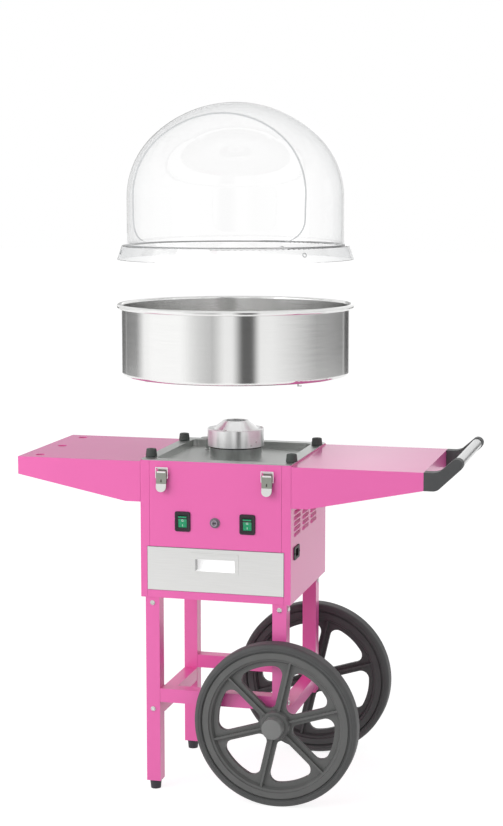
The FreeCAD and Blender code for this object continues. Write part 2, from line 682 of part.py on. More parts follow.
def shelf(side, sign):
    """A folded shelf, open below, whose skirt tapers from the housing to its end."""
    body = new_body("shelf_" + side)
    mirrored = "%d * " % sign
    root = "(%s + seam_gap)" % HALF_WIDTH
    add_between(body, "XZ", "-" + HALF_DEPTH, HALF_DEPTH, outline(
        (mirrored + root, "shelf_top"),
        (mirrored + SHELF_END, "shelf_top"),
        (mirrored + SHELF_END, "shelf_top - shelf_end_drop"),
        (mirrored + "(%s + shelf_root_flat)" % root, "shelf_top - shelf_root_drop"),
        (mirrored + root, "shelf_top - shelf_root_drop")))
    inner_root = "(%s + sheet_gauge)" % root
    inner_end = "(%s - sheet_gauge)" % SHELF_END
    cut_between(body, "XZ", "-%s + sheet_gauge" % HALF_DEPTH, HALF_DEPTH + " - sheet_gauge", outline(
        (mirrored + inner_root, "shelf_top - sheet_gauge"),
        (mirrored + inner_end, "shelf_top - sheet_gauge"),
        (mirrored + inner_end, "shelf_top - shelf_root_drop - sheet_gauge"),
        (mirrored + inner_root, "shelf_top - shelf_root_drop - sheet_gauge")))
    if sign < 0:
        hole_x = "-(%s - stick_hole_inset)" % SHELF_END
        holes = [circle(hole_x, "%d * stick_hole_pitch" % step, "stick_hole_radius") for step in (-1, 0, 1)]
        cut_between(body, "XY", "shelf_top - sheet_gauge", "shelf_top", *holes)


def handle_bracket(end, sign):
    """A moulded elbow from the shelf's end up to the collar that holds the handle tube."""
    body = new_body("handle_bracket_" + end)
    foot = "(shelf_top - shelf_end_drop)"
    low, high = span(sign, HALF_DEPTH + " - bracket_width", HALF_DEPTH)
    slant = "collar_radius * 0.7071"
    add_between(body, "XZ", low, high, outline(
        (SHELF_END, foot),
        (SHELF_END + " + bracket_foot - 4", foot, "22", LEFT_TURN),
        (SHELF_END + " + bracket_foot + 8", foot + " + 4.6"),
        (TUBE_X + " + " + slant, "handle_height - " + slant, "collar_radius", LEFT_TURN),
        (TUBE_X + " + " + slant, "handle_height + " + slant, "collar_radius", LEFT_TURN),
        (TUBE_X + " - " + slant, "handle_height + " + slant),
        (SHELF_END + " + bracket_foot + 10", "shelf_top + 4", "40", RIGHT_TURN),
        (SHELF_END + " + bracket_foot - 8", "shelf_top"),
        (SHELF_END, "shelf_top")))
    near, far = span(sign, HALF_DEPTH + " - bracket_width", HALF_DEPTH + " - bracket_width + bracket_socket")
    cut_between(body, "XZ", near, far, circle(TUBE_X, "handle_height", "handle_radius"))


def handle_tube():
    """The round tube that is held to push the cart."""
    body = new_body("handle_tube")
    end = "(%s - bracket_width + bracket_socket)" % HALF_DEPTH
    add_between(body, "XZ", "-" + end, end,
                circle(TUBE_X, "handle_height", "handle_radius"),
                circle(TUBE_X, "handle_height", "(handle_radius - handle_wall)"))


# Frame ----------------------------------------------------------------------------------

def leg(leg_place):
    """A square leg tube from its foot to the housing; the right ones also hold the axle."""
    label, across, along, side, end = leg_place
    body = new_body(label)
    foot = AXLE_LEG_END if side > 0 else "glide_height"
    half = "(leg_size / 2)"
    add_between(body, "XY", foot, "housing_bottom",
                centred(across, along, half), centred(across, along, "(leg_size / 2 - leg_wall)"))
    drill(body, leg_place, "leg_wall", *bolt_levels(side))
    if side > 0:
        cut_between(body, "XZ", "%s - %s" % (along, half), "%s + %s" % (along, half),
                    circle(across, "wheel_radius", "axle_radius"))


def bolt_levels(side):
    """Heights of a leg's bolts: those seen from its end of the cart, then those seen from its side."""
    from_end = (SPIGOT_LEVEL, SIDE_RAIL_LEVEL) if side < 0 else (SPIGOT_LEVEL,)
    return from_end, (SPIGOT_LEVEL, CROSS_RAIL_LEVEL)


def drill(body, leg_place, depth, end_levels, side_levels):
    """Bolt holes through the two outer walls at a leg, to a depth from the leg's outer faces."""
    across, along, side, end = leg_place[1:]
    low, high = outer_stretch(along, end, depth)
    cut_between(body, "XZ", low, high, *[circle(across, level, "bolt_radius") for level in end_levels])
    low, high = outer_stretch(across, side, depth)
    cut_between(body, "YZ", low, high, *[circle(along, level, "bolt_radius") for level in side_levels])


def outer_stretch(middle, sign, depth):
    """The stretch from a leg's outer face inwards to a depth."""
    if sign < 0:
        return "%s - leg_size / 2" % middle, "%s - leg_size / 2 + %s" % (middle, depth)
    return "%s + leg_size / 2 - %s" % (middle, depth), "%s + leg_size / 2" % middle


def side_rail(side, sign):
    """The lower rail between a front and a rear leg."""
    body = new_body("side_rail_" + side)
    middle = "%d * leg_x" % sign
    height = "(side_rail_bottom + rail_size / 2)"
    add_between(body, "XZ", "-leg_front_y + leg_size / 2", "leg_rear_y - leg_size / 2",
                centred(middle, height, "(rail_size / 2)"),
                centred(middle, height, "(rail_size / 2 - rail_wall)"))


def cross_rail(end, along):
    """The lower rail between a left and a right leg."""
    body = new_body(end + "_rail")
    height = "(cross_rail_bottom + rail_size / 2)"
    add_between(body, "YZ", "-leg_x + leg_size / 2", "leg_x - leg_size / 2",
                centred(along, height, "(rail_size / 2)"),
                centred(along, height, "(rail_size / 2 - rail_wall)"))


def leg_glides():
    """The two black glides under the left legs."""
    glides = []
    for along in ("-leg_front_y", "leg_rear_y"):
        foot = primitive("Part::Cone", {
            "Radius1": "glide_radius - 2", "Radius2": "glide_radius", "Height": "glide_height"},
            "-leg_x", along, "0")
        stem = primitive("Part::Cylinder", {
            "Radius": "leg_size / 2 - leg_wall - spigot_gap", "Height": "12"},
            "-leg_x", along, "glide_height")
        glide = doc.addObject("Part::Fuse", "glide")
        glide.Base = foot
        glide.Tool = stem
        glides.append(glide)
    group("leg_glides", glides)


def bolt_shape(length):
    """A pan-head bolt along +Z: its head's foot at 0, its shank going down."""
    head = value("bolt_head_radius")
    rise = value("bolt_head_height")
    shank = value("bolt_radius")
    profile = [Vector(0, 0, -length), Vector(shank, 0, -length), Vector(shank, 0, 0), Vector(head, 0, 0),
               Vector(head, 0, rise * 0.45), Vector(head * 0.62, 0, rise), Vector(0, 0, rise)]
    return turned_shape(profile, Vector(), Vector(0, 0, 1))


def frame_bolts():
    """The bolts that hold the legs to the housing's spigots and to the lower rails."""
    bolt = bolt_shape(value("leg_wall + 6"))
    bolts = []
    for label, across, along, side, end in LEGS:
        end_levels, side_levels = bolt_levels(side)
        for outward, levels in ((Vector(0, end, 0), end_levels), (Vector(side, 0, 0), side_levels)):
            turn = Rotation(Vector(0, 0, 1), outward)
            for level in levels:
                seat = Vector(value(across), value(along), value(level)) + outward * value("leg_size / 2")
                bolts.append(bolt.transformed(Placement(seat, turn).toMatrix(), True))
    shaped("frame_bolts", Part.makeCompound(bolts))


# Wheels ---------------------------------------------------------------------------------

def axle():
    """The fixed axle, with shoulders beside the legs and washers that keep the wheels on."""
    body = new_body("axle", "leg_x", "0", "wheel_radius")
    half = "(wheel_width / 2)"
    shoulder = "(axle_radius + 5)"
    add_between(body, "XZ", "-wheel_front_y - %s - 4" % half, "wheel_rear_y + %s + 4" % half,
                circle("0", "0", "axle_radius"))
    collars = (
        ("-wheel_front_y + %s + side_play" % half, "-leg_front_y - leg_size / 2"),
        ("leg_rear_y + leg_size / 2", "wheel_rear_y - %s - side_play" % half),
        ("-wheel_front_y - %s - side_play - 2" % half, "-wheel_front_y - %s - side_play" % half),
        ("wheel_rear_y + %s + side_play" % half, "wheel_rear_y + %s + side_play + 2" % half))
    for low, high in collars:
        add_between(body, "XZ", low, high, circle("0", "0", shoulder))


def wheel(end, along):
    """A moulded wheel: rim, hub, and six spokes with a rib on each face, between rounded windows."""
    body = new_body("wheel_" + end, "leg_x", along, "wheel_radius")
    body.Placement.Rotation = Rotation(Vector(0, -1, 0), value("spoke_phase"))
    place(body, "leg_x", along, "wheel_radius")
    rim = "(wheel_radius - tyre_depth)"
    revolve(body, "XY", outline(
        ("axle_radius + axle_play", "-wheel_width / 2"),
        ("hub_radius - 2", "-wheel_width / 2"),
        ("hub_radius", "-wheel_width / 2 + 2"),
        ("hub_radius + 3", "-web_width / 2"),
        ("rim_inner_radius - 4", "-web_width / 2"),
        ("rim_inner_radius", "-rim_width / 2 + 5", "5", RIGHT_TURN),
        ("rim_inner_radius + 5", "-rim_width / 2"),
        (rim + " - 3", "-rim_width / 2"),
        (rim, "-rim_width / 2 + 2"),
        (rim, "rim_width / 2 - 2"),
        (rim + " - 3", "rim_width / 2"),
        ("rim_inner_radius + 5", "rim_width / 2", "5", RIGHT_TURN),
        ("rim_inner_radius", "rim_width / 2 - 5"),
        ("rim_inner_radius - 4", "web_width / 2"),
        ("hub_radius + 3", "web_width / 2"),
        ("hub_radius", "wheel_width / 2 - 2"),
        ("hub_radius - 2", "wheel_width / 2"),
        ("axle_radius + axle_play", "wheel_width / 2")))
    windows = cut_between(body, "XZ", "-web_width", "web_width", window_outline())
    repeat_round(body, windows, "Y_Axis", "spoke_count")
    rib = add_between(body, "XZ", "-rib_span / 2", "rib_span / 2", rectangle(
        "hub_radius - 3", "-rib_width / 2", "rim_inner_radius + 4", "rib_width / 2"))
    repeat_round(body, rib, "Y_Axis", "spoke_count")


def window_outline():
    """One window between two spokes, pointing up: straight beside the spokes, round at its corners."""
    lean = "cos(180 / spoke_count)"
    slope = "sin(180 / spoke_count)"
    inner = "((spoke_half + window_inner_round) * %s / %s)" % (lean, slope)
    offset = "(spoke_half + window_outer_round)"
    outer = "sqrt((window_radius - window_outer_round)^2 - %s^2)" % offset
    swell = "window_radius / (window_radius - window_outer_round)"

    def beside(run, out):
        """A point that lies run along the right spoke and out from its middle line, as x and y."""
        return ("%s * %s - %s * %s" % (run, slope, out, lean), "%s * %s + %s * %s" % (run, lean, out, slope))

    inner_x, inner_y = beside(inner, "spoke_half")
    side_x, side_y = beside(outer, "spoke_half")
    arc_x, arc_y = ["(%s) * %s" % (part, swell) for part in beside(outer, offset)]
    return outline(
        (inner_x, inner_y),
        (side_x, side_y, "window_outer_round", LEFT_TURN),
        (arc_x, arc_y, "window_radius", LEFT_TURN),
        ("-(%s)" % arc_x, arc_y, "window_outer_round", LEFT_TURN),
        ("-(%s)" % side_x, side_y),
        ("-(%s)" % inner_x, inner_y, "window_inner_round", LEFT_TURN))


def tyre(end, along):
    """The tyre: a ring with round shoulders and a groove where it meets the rim."""
    body = new_body("tyre_" + end, "leg_x", along, "wheel_radius")
    rim = "(wheel_radius - tyre_depth)"
    half = "(wheel_width / 2)"
    revolve(body, "XY", outline(
        (rim, "-%s + 3" % half),
        (rim + " + 2", "-" + half),
        ("wheel_radius - tyre_shoulder", "-" + half, "tyre_shoulder", LEFT_TURN),
        ("wheel_radius", "-%s + tyre_shoulder" % half),
        ("wheel_radius", half + " - tyre_shoulder", "tyre_shoulder", LEFT_TURN),
        ("wheel_radius - tyre_shoulder", half),
        (rim + " + 2", half),
        (rim, half + " - 3")))


def hub_cap(end, along, facing):
    """The round cap over the axle's end."""
    body = new_body("hub_cap_" + end, "leg_x", along, "wheel_radius")
    seat = "(wheel_width / 2)"
    sign = "%d * " % facing
    turn = LEFT_TURN * facing
    revolve(body, "XY", outline(
        ("hub_cap_radius - 2.5", sign + seat),
        ("hub_cap_radius", sign + seat),
        ("hub_cap_radius - 0.5", sign + "(%s + hub_cap_depth - 2.5)" % seat, "2.5", turn),
        ("hub_cap_radius - 3", sign + "(%s + hub_cap_depth)" % seat),
        ("0", sign + "(%s + hub_cap_depth)" % seat),
        ("0", sign + "(%s + hub_cap_depth - 2.5)" % seat),
        ("hub_cap_radius - 3", sign + "(%s + hub_cap_depth - 2.5)" % seat)))


# Drawer ---------------------------------------------------------------------------------

def drawer_runners():
    """Two folded runners that stand on the base plate and carry the drawer's tray."""
    wall = "(drawer_half_width + slide_gap)"
    top = "(%s - slide_gap)" % DRAWER_BOTTOM
    gauge = "sheet_gauge"
    body = new_body("drawer_runners")
    body.AllowCompound = True
    for sign in (-1, 1):
        mirrored = "%d * " % sign
        add_between(body, "XZ", "-%s + 8" % HALF_DEPTH, HALF_DEPTH + " - 22", outline(
            (mirrored + wall, BASE_TOP),
            (mirrored + "(%s + runner_foot)" % wall, BASE_TOP),
            (mirrored + "(%s + runner_foot)" % wall, "%s + %s" % (BASE_TOP, gauge)),
            (mirrored + "(%s + %s)" % (wall, gauge), "%s + %s" % (BASE_TOP, gauge)),
            (mirrored + "(%s + %s)" % (wall, gauge), top + " + runner_guide"),
            (mirrored + wall, top + " + runner_guide"),
            (mirrored + wall, top),
            (mirrored + "(%s - runner_shelf)" % wall, top),
            (mirrored + "(%s - runner_shelf)" % wall, "%s - %s" % (top, gauge)),
            (mirrored + wall, "%s - %s" % (top, gauge))))


def drawer_front():
    """The stainless front of the drawer, with folded lips and a hole for the pull."""
    body = new_body("drawer_front")
    face = "(-%s - drawer_proud)" % HALF_DEPTH
    half = "(%s - drawer_play)" % OPENING_HALF
    low = "(%s + drawer_play)" % SILL_TOP
    high = "(%s - drawer_play)" % OPENING_TOP
    room = "(cup_wall + cup_play)"
    add_between(body, "XZ", face, face + " + sheet_gauge",
                rectangle("-" + half, low, half, high),
                centred_pair("0", GRIP_LEVEL, "(grip_width / 2 + %s)" % room, "(grip_height / 2 + %s)" % room))
    for sign in (-1, 1):
        left, right = span(sign, half + " - sheet_gauge", half)
        add_between(body, "XZ", face, face + " + drawer_lip", rectangle(left, low, right, high))


def drawer_tray():
    """The drawer's tray: a folded box, open above, with a low wall behind the front."""
    body = new_body("drawer_tray")
    start = "(-%s - drawer_proud + sheet_gauge)" % HALF_DEPTH
    end = "(%s + drawer_length)" % start
    half = "drawer_half_width"
    top = "(%s + drawer_wall_height)" % DRAWER_BOTTOM
    add_between(body, "XY", DRAWER_BOTTOM, top, rectangle("-" + half, start, half, end))
    cut_between(body, "XY", DRAWER_BOTTOM + " + drawer_gauge", top, rectangle(
        "-%s + drawer_gauge" % half, start + " + drawer_gauge", half + " - drawer_gauge", end + " - drawer_gauge"))
    cut_between(body, "XZ", start, start + " + drawer_gauge", rectangle(
        "-%s + drawer_gauge" % half, DRAWER_BOTTOM + " + drawer_front_wall", half + " - drawer_gauge", top))


def drawer_pull():
    """The recessed pull: a thin frame round a cup for the fingers."""
    body = new_body("drawer_pull")
    face = "(-%s - drawer_proud)" % HALF_DEPTH
    back = "(%s + grip_depth)" % face
    add_between(body, "XZ", face + " - pull_gauge", face,
                centred_pair("0", PULL_LEVEL, "pull_width / 2", "pull_height / 2"))
    add_between(body, "XZ", face, back,
                centred_pair("0", GRIP_LEVEL, "(grip_width / 2 + cup_wall)", "(grip_height / 2 + cup_wall)"))
    cut_between(body, "XZ", face + " - pull_gauge", back + " - cup_wall",
                centred_pair("0", GRIP_LEVEL, "grip_width / 2", "grip_height / 2"))


# Controls -------------------------------------------------------------------------------

def switch_bezel(side, sign):
    """The black frame and body of a rocker switch."""
    body = new_body("switch_bezel_" + side, "%d * switch_x" % sign, "-" + HALF_DEPTH, "control_height")
    add_between(body, "XZ", "-bezel_proud", "0", rounded(
        "-bezel_width / 2", "-bezel_height / 2", "bezel_width / 2", "bezel_height / 2", "bezel_corner"))
    add_between(body, "XZ", "0", "switch_body_depth",
                centred_pair("0", "0", "switch_body_width / 2", "switch_body_height / 2"))
    cut_between(body, "XZ", "-bezel_proud", "rocker_well", centred_pair(
        "0", "0", "(rocker_width / 2 + rocker_play)", "(rocker_height / 2 + 2 * rocker_play)"))
    pin = "(rocker_width / 2 + rocker_pin_reach + 4 * pin_play)"
    cut_between(body, "YZ", "-" + pin, pin, circle("rocker_pivot", "0", "rocker_pin_radius + pin_play"))


def rocker(side, sign):
    """A green rocker, hollow in the middle of its face, with its two pivot pins."""
    middle = ("%d * switch_x" % sign, "-%s + rocker_pivot" % HALF_DEPTH, "control_height")
    body = new_body("rocker_" + side, *middle)
    body.Placement.Rotation = Rotation(Vector(1, 0, 0), value("rocker_tilt"))
    place(body, *middle)
    half = "(rocker_height / 2)"
    add_between(body, "YZ", "-rocker_width / 2", "rocker_width / 2", outline(
        ("-rocker_reach", half), ("-rocker_reach + rocker_hollow", "0"), ("-rocker_reach", "-" + half),
        ("rocker_back", "-%s + 2" % half), ("rocker_back", half + " - 2")))
    pin = "(rocker_width / 2 + rocker_pin_reach)"
    add_between(body, "YZ", "-" + pin, pin, circle("0", "0", "rocker_pin_radius"))


def fuse_holder():
    """The fixed part of the fuse holder: a flange before the panel, a barrel and a nut behind it."""
    body = new_body("fuse_holder", "0", "-" + HALF_DEPTH, "control_height")
    add_between(body, "XZ", "-fuse_flange", "0", circle("0", "0", "fuse_radius"))
    add_between(body, "XZ", "0", "fuse_barrel", circle("0", "0", "fuse_cap_radius - 4 * fuse_plug_play"))
    add_between(body, "XZ", "sheet_gauge", "sheet_gauge + 3.5", circle("0", "0", "fuse_radius"))
    cut_between(body, "XZ", "-fuse_flange", "fuse_well", circle("0", "0", "fuse_plug_radius + fuse_plug_play"))


def fuse_cap():
    """The turning cap of the fuse holder, with three grip flats."""
    body = new_body("fuse_cap", "0", "-" + HALF_DEPTH, "control_height")
    seat = "(-fuse_flange - fuse_cap_gap)"
    front = "(%s - fuse_cap_height)" % seat
    add_between(body, "XZ", front, seat, circle("0", "0", "fuse_cap_radius"))
    add_between(body, "XZ", seat, "fuse_well - 1", circle("0", "0", "fuse_plug_radius"))
    flat = cut_between(body, "XZ", front, front + " + fuse_grip_depth", rectangle(
        "fuse_cap_radius * 0.3", "-fuse_cap_radius / 7", "fuse_cap_radius + 1", "fuse_cap_radius / 7"))
    repeat_round(body, flat, "Y_Axis", "3")


def latch_base(side, sign):
    """The latch's plate on the panel, with two ears and the pin that the lever turns on."""
    body = new_body("latch_base_" + side, "%d * latch_x" % sign, "-" + HALF_DEPTH, "latch_pin_height")
    half = "latch_plate_half"
    add_between(body, "XZ", "-latch_gauge", "0",
                rectangle("-" + half, "-latch_plate_drop", half, "latch_plate_rise"))
    for ear in (-1, 1):
        low, high = span(ear, half + " - latch_gauge", half)
        add_between(body, "YZ", low, high, outline(
            ("-0.5", "-9"),
            ("-latch_pin_out + 0.5", "-latch_ear_round + 0.1", "latch_ear_round", RIGHT_TURN),
            ("-latch_pin_out - latch_ear_round + 0.1", "0", "latch_ear_round", RIGHT_TURN),
            ("-latch_pin_out", "latch_ear_round - 0.1"), ("-0.5", "-2")))
    pin = "(latch_half_width + 0.3)"
    add_between(body, "YZ", "-" + pin, pin, circle("-latch_pin_out", "0", "latch_pin_radius"))


def latch_lever(side, sign):
    """The lever: a channel over the ears that ends in a round tab, with a keyhole slot."""
    body = new_body("latch_lever_" + side, "%d * latch_x" % sign, "-" + HALF_DEPTH, "latch_pin_height")
    front = "(-latch_pin_out - lever_out)"
    half = "latch_half_width"
    tab = "(-lever_drop + 10)"
    tab_radius = half + " + 0.2"
    add_between(body, "XZ", front, front + " + latch_gauge", outline(
        ("-" + half, "lever_rise"), ("-" + half, tab, tab_radius, LEFT_TURN),
        ("0", tab + " - latch_half_width", tab_radius, LEFT_TURN), (half, tab), (half, "lever_rise")),
        centred_pair("0", "-keyhole_middle", "keyhole_width / 2", "keyhole_length / 2"))
    for flange in (-1, 1):
        low, high = span(flange, half + " - 1", half)
        add_between(body, "YZ", low, high,
                    rectangle(front, "-lever_flange_drop", front + " + lever_out + 3.4", "lever_rise"))
    cut_between(body, "YZ", "-%s - 1" % half, half + " + 1",
                circle("-latch_pin_out", "0", "latch_pin_radius + pin_play"))
    cut_between(body, "YZ", "-%s - 1" % half, half + " + 1",
                circle("-latch_pin_out", "-bail_drop", "bail_wire + pin_play"))


def latch_bail(side, sign):
    """The wire loop that is pulled over the bowl's hook, with its ends in the lever's sides."""
    wire = value("bail_wire")
    out = value("-%s - latch_pin_out" % HALF_DEPTH)
    low = value("latch_pin_height - bail_drop")
    high = value("latch_pin_height - bail_drop + bail_length")
    reach = value("latch_half_width + bail_gap + bail_wire")
    tip = value("latch_half_width - 0.9")
    middle = value("latch_x") * sign
    pieces = []
    for end in (-1, 1):
        inside, foot = [Vector(middle + end * along, out, low) for along in (tip, reach)]
        corner = Vector(middle + end * reach, out, high)
        pieces += [rod(inside, foot, wire), rod(foot, corner, wire), ball(foot, wire), ball(corner, wire)]
    pieces.append(rod(Vector(middle - reach, out, high), Vector(middle + reach, out, high), wire))
    shaped("latch_bail_" + side, pieces[0].fuse(pieces[1:]).removeSplitter())


def rod(start, end, radius):
    """A round rod from one point to another."""
    run = end - start
    return Part.makeCylinder(radius, run.Length, start, run)


def ball(centre, radius):
    """A ball that rounds the corner of a wire."""
    return Part.makeSphere(radius, centre)


def power_inlet():
    """The mains inlet in the right side: a flanged body with three blades in its socket."""
    body = new_body("power_inlet", HALF_WIDTH, "inlet_y", "inlet_height")
    wide, tall = "inlet_half_width", "inlet_half_height"
    add_between(body, "YZ", "0", "inlet_proud", rounded("-" + wide, "-" + tall, wide, tall, "5"))
    wide, tall = "(inlet_half_width - inlet_shoulder)", "(inlet_half_height - inlet_shoulder - 0.5)"
    add_between(body, "YZ", "-inlet_depth", "0", rounded("-" + wide, "-" + tall, wide, tall, "3"))
    wide, tall = "socket_half_width", "socket_half_height"
    cut_between(body, "YZ", "-socket_depth", "inlet_proud", rounded("-" + wide, "-" + tall, wide, tall, "3.5"))
    places = (("-blade_pitch / 2", "-1.5"), ("blade_pitch / 2", "-1.5"), ("0", "2.5"))
    add_between(body, "YZ", "-socket_depth", "-socket_depth + blade_length",
                *[centred_pair(along, up, "1", "2") for along, up in places])


# Spinner --------------------------------------------------------------------------------

def motor():
    """The motor that hangs under the tray, bored for the spinner's shaft."""
    body = new_body("motor", "0", "0", MOTOR_TOP)
    add_between(body, "XY", "-motor_length", "0", circle("0", "0", "motor_radius"))
    add_between(body, "XY", "-motor_length - motor_nose_length", "-motor_length",
                circle("0", "0", "motor_radius * 0.45"))
    cut_between(body, "XY", "-shaft_depth", "0", circle("0", "0", "shaft_radius + shaft_play"))


def motor_bracket():
    """The plate between the motor and the tray's floor."""
    body = new_body("motor_bracket", "0", "0", MOTOR_TOP)
    wide, deep = "bracket_half_width", "bracket_half_depth"
    add_between(body, "XY", "0", "bracket_gauge", rounded("-" + wide, "-" + deep, wide, deep, "8"),
                circle("0", "0", "bracket_bore"))


def head_pedestal():
    """The dark pedestal that stands on the tray's floor under the spinner."""
    body = new_body("head_pedestal")
    inside = "(pedestal_radius - pedestal_wall)"
    underside = "(pedestal_top - pedestal_wall)"
    revolve(body, "XZ", outline(
        ("pedestal_bore", underside), (inside, underside), (inside, TRAY_FLOOR), ("pedestal_radius", TRAY_FLOOR),
        ("pedestal_radius", "pedestal_top"), ("pedestal_bore", "pedestal_top")))


def seal_ring():
    """The black ring between the pedestal and the spinning drum."""
    body = new_body("seal_ring")
    outer = "(pedestal_radius + seal_overhang)"
    revolve(body, "XZ", rectangle(outer + " - seal_width", "pedestal_top", outer, "pedestal_top + seal_height"))


def spinner_shaft():
    """The shaft from the motor to the drum, with the nut that clamps the drum."""
    body = new_body("spinner_shaft")
    foot = "(%s + bracket_gauge - shaft_depth)" % MOTOR_TOP
    collar = DRUM_BOTTOM + " - shaft_collar_height"
    seat = "(%s + drum_floor)" % DRUM_BOTTOM
    revolve(body, "XZ", outline(
        ("0", foot), ("shaft_radius", foot),
        ("shaft_radius", collar), ("shaft_radius + collar_reach", collar),
        ("shaft_radius + collar_reach", DRUM_BOTTOM), ("shaft_radius", DRUM_BOTTOM),
        ("shaft_radius", seat), ("shaft_radius + nut_reach", seat),
        ("shaft_radius + nut_reach", seat + " + nut_height"), ("0", seat + " + nut_height")))


def head_drum():
    """The turned drum of the spinner, open in the middle of its top."""
    body = new_body("head_drum")
    inside = "(drum_radius - drum_wall)"
    roof = DRUM_TOP + " - drum_roof"
    floor = DRUM_BOTTOM + " + drum_floor"
    revolve(body, "XZ", outline(
        ("shaft_radius", DRUM_BOTTOM), ("drum_radius", DRUM_BOTTOM),
        ("drum_radius", DRUM_TOP + " - 1"), ("drum_radius - 1", DRUM_TOP),
        ("cone_base_radius", DRUM_TOP), ("cone_base_radius", roof),
        (inside, roof), (inside, floor), ("shaft_radius", floor)))


def head_cone():
    """The cone that closes the drum, with the tube that the sugar is poured into."""
    body = new_body("head_cone")
    top = "(%s + cone_height)" % DRUM_TOP
    roof = DRUM_TOP + " - drum_roof"
    foot = DRUM_TOP + " - sugar_tube_depth"
    tube = "(sugar_hole_radius + sugar_tube_wall)"
    revolve(body, "XZ", outline(
        ("cone_base_radius", roof), ("cone_base_radius", DRUM_TOP),
        ("cone_top_radius", top + " - 1"), ("cone_top_radius - 1.2", top),
        ("sugar_hole_radius", top), ("sugar_hole_radius", foot), (tube, foot), (tube, roof)))


def heating_element():
    """The ribbon heater that stands round the inside of the drum's wall, on its posts."""
    body = new_body("heating_element", "0", "0", DRUM_BOTTOM)
    outer = "(drum_radius - drum_wall - heater_gap)"
    revolve(body, "XZ", rectangle(
        outer + " - heater_gauge", "heater_low", outer, "heater_low + heater_height"))
    post = add_between(body, "XY", "drum_floor", "heater_low", circle(outer + " - heater_gauge / 2", "0", "2.5"))
    repeat_round(body, post, "Z_Axis", "heater_posts")


def head_screws():
    """Three screws on top of the drum and two in its side."""
    screws = []
    ring = value("(drum_radius + cone_base_radius) / 2")
    for angle in (20, 140, 260):
        direction = Vector(math.cos(math.radians(angle)), math.sin(math.radians(angle)), 0)
        seat = direction * ring + Vector(0, 0, value(DRUM_TOP))
        screws.append(Part.makeCone(4, 2.6, 2.4, seat, Vector(0, 0, 1)))
    for angle, height in ((-30, 12), (-43, 5.5)):
        direction = Vector(math.cos(math.radians(angle)), math.sin(math.radians(angle)), 0)
        seat = direction * value("drum_radius") + Vector(0, 0, value(DRUM_BOTTOM) + height)
        screws.append(Part.makeCylinder(2, 1.1, seat, direction))
    shaped("head_screws", Part.makeCompound(screws))


# Bowl and dome --------------------------------------------------------------------------

def bowl():
    """The spun bowl: bottom with a lipped hole, upright wall and rolled rim."""
    body = new_body("bowl", "0", "0", BOWL_BOTTOM)
    bead_middle = "(bowl_height - bowl_bead_radius)"
    inside = "(bowl_radius - bowl_gauge)"
    revolve(body, "XZ", outline(
        ("bowl_hole_radius", "0"),
        ("bowl_radius - bowl_corner", "0", "bowl_corner", LEFT_TURN),
        ("bowl_radius", "bowl_corner"),
        ("bowl_radius", bead_middle),
        (inside, bead_middle),
        (inside, "bowl_corner", "bowl_corner - bowl_gauge", RIGHT_TURN),
        ("bowl_radius - bowl_corner", "bowl_gauge"),
        ("bowl_hole_radius + bowl_gauge", "bowl_gauge"),
        ("bowl_hole_radius + bowl_gauge", "bowl_lip_height"),
        ("bowl_hole_radius", "bowl_lip_height")))
    revolve(body, "XZ", circle("(%s - bowl_bead_radius)" % BOWL_RIM, bead_middle, "bowl_bead_radius"))


def bowl_hooks():
    """Four bent hooks under the bowl for the latches."""
    hooks = []
    top = value(BOWL_BOTTOM)
    low = value(BOWL_BOTTOM + " - hook_drop")
    gauge, reach, width = value("hook_gauge"), value("hook_reach"), value("hook_width")
    for sign in (-1, 1):
        stem = value("hook_across") * sign
        corners = ((0, top), (0, low), (reach, low), (reach, low + gauge), (gauge, low + gauge), (gauge, top))
        profile = [Vector(stem + out * sign, 0, height) for out, height in corners]
        face = Part.Face(Part.makePolygon(profile + profile[:1]))
        for along in (-value("hook_along"), value("hook_along")):
            hook = face.extrude(Vector(0, width, 0))
            hook.translate(Vector(0, along - width / 2, 0))
            hooks.append(hook)
    shaped("bowl_hooks", Part.makeCompound(hooks))


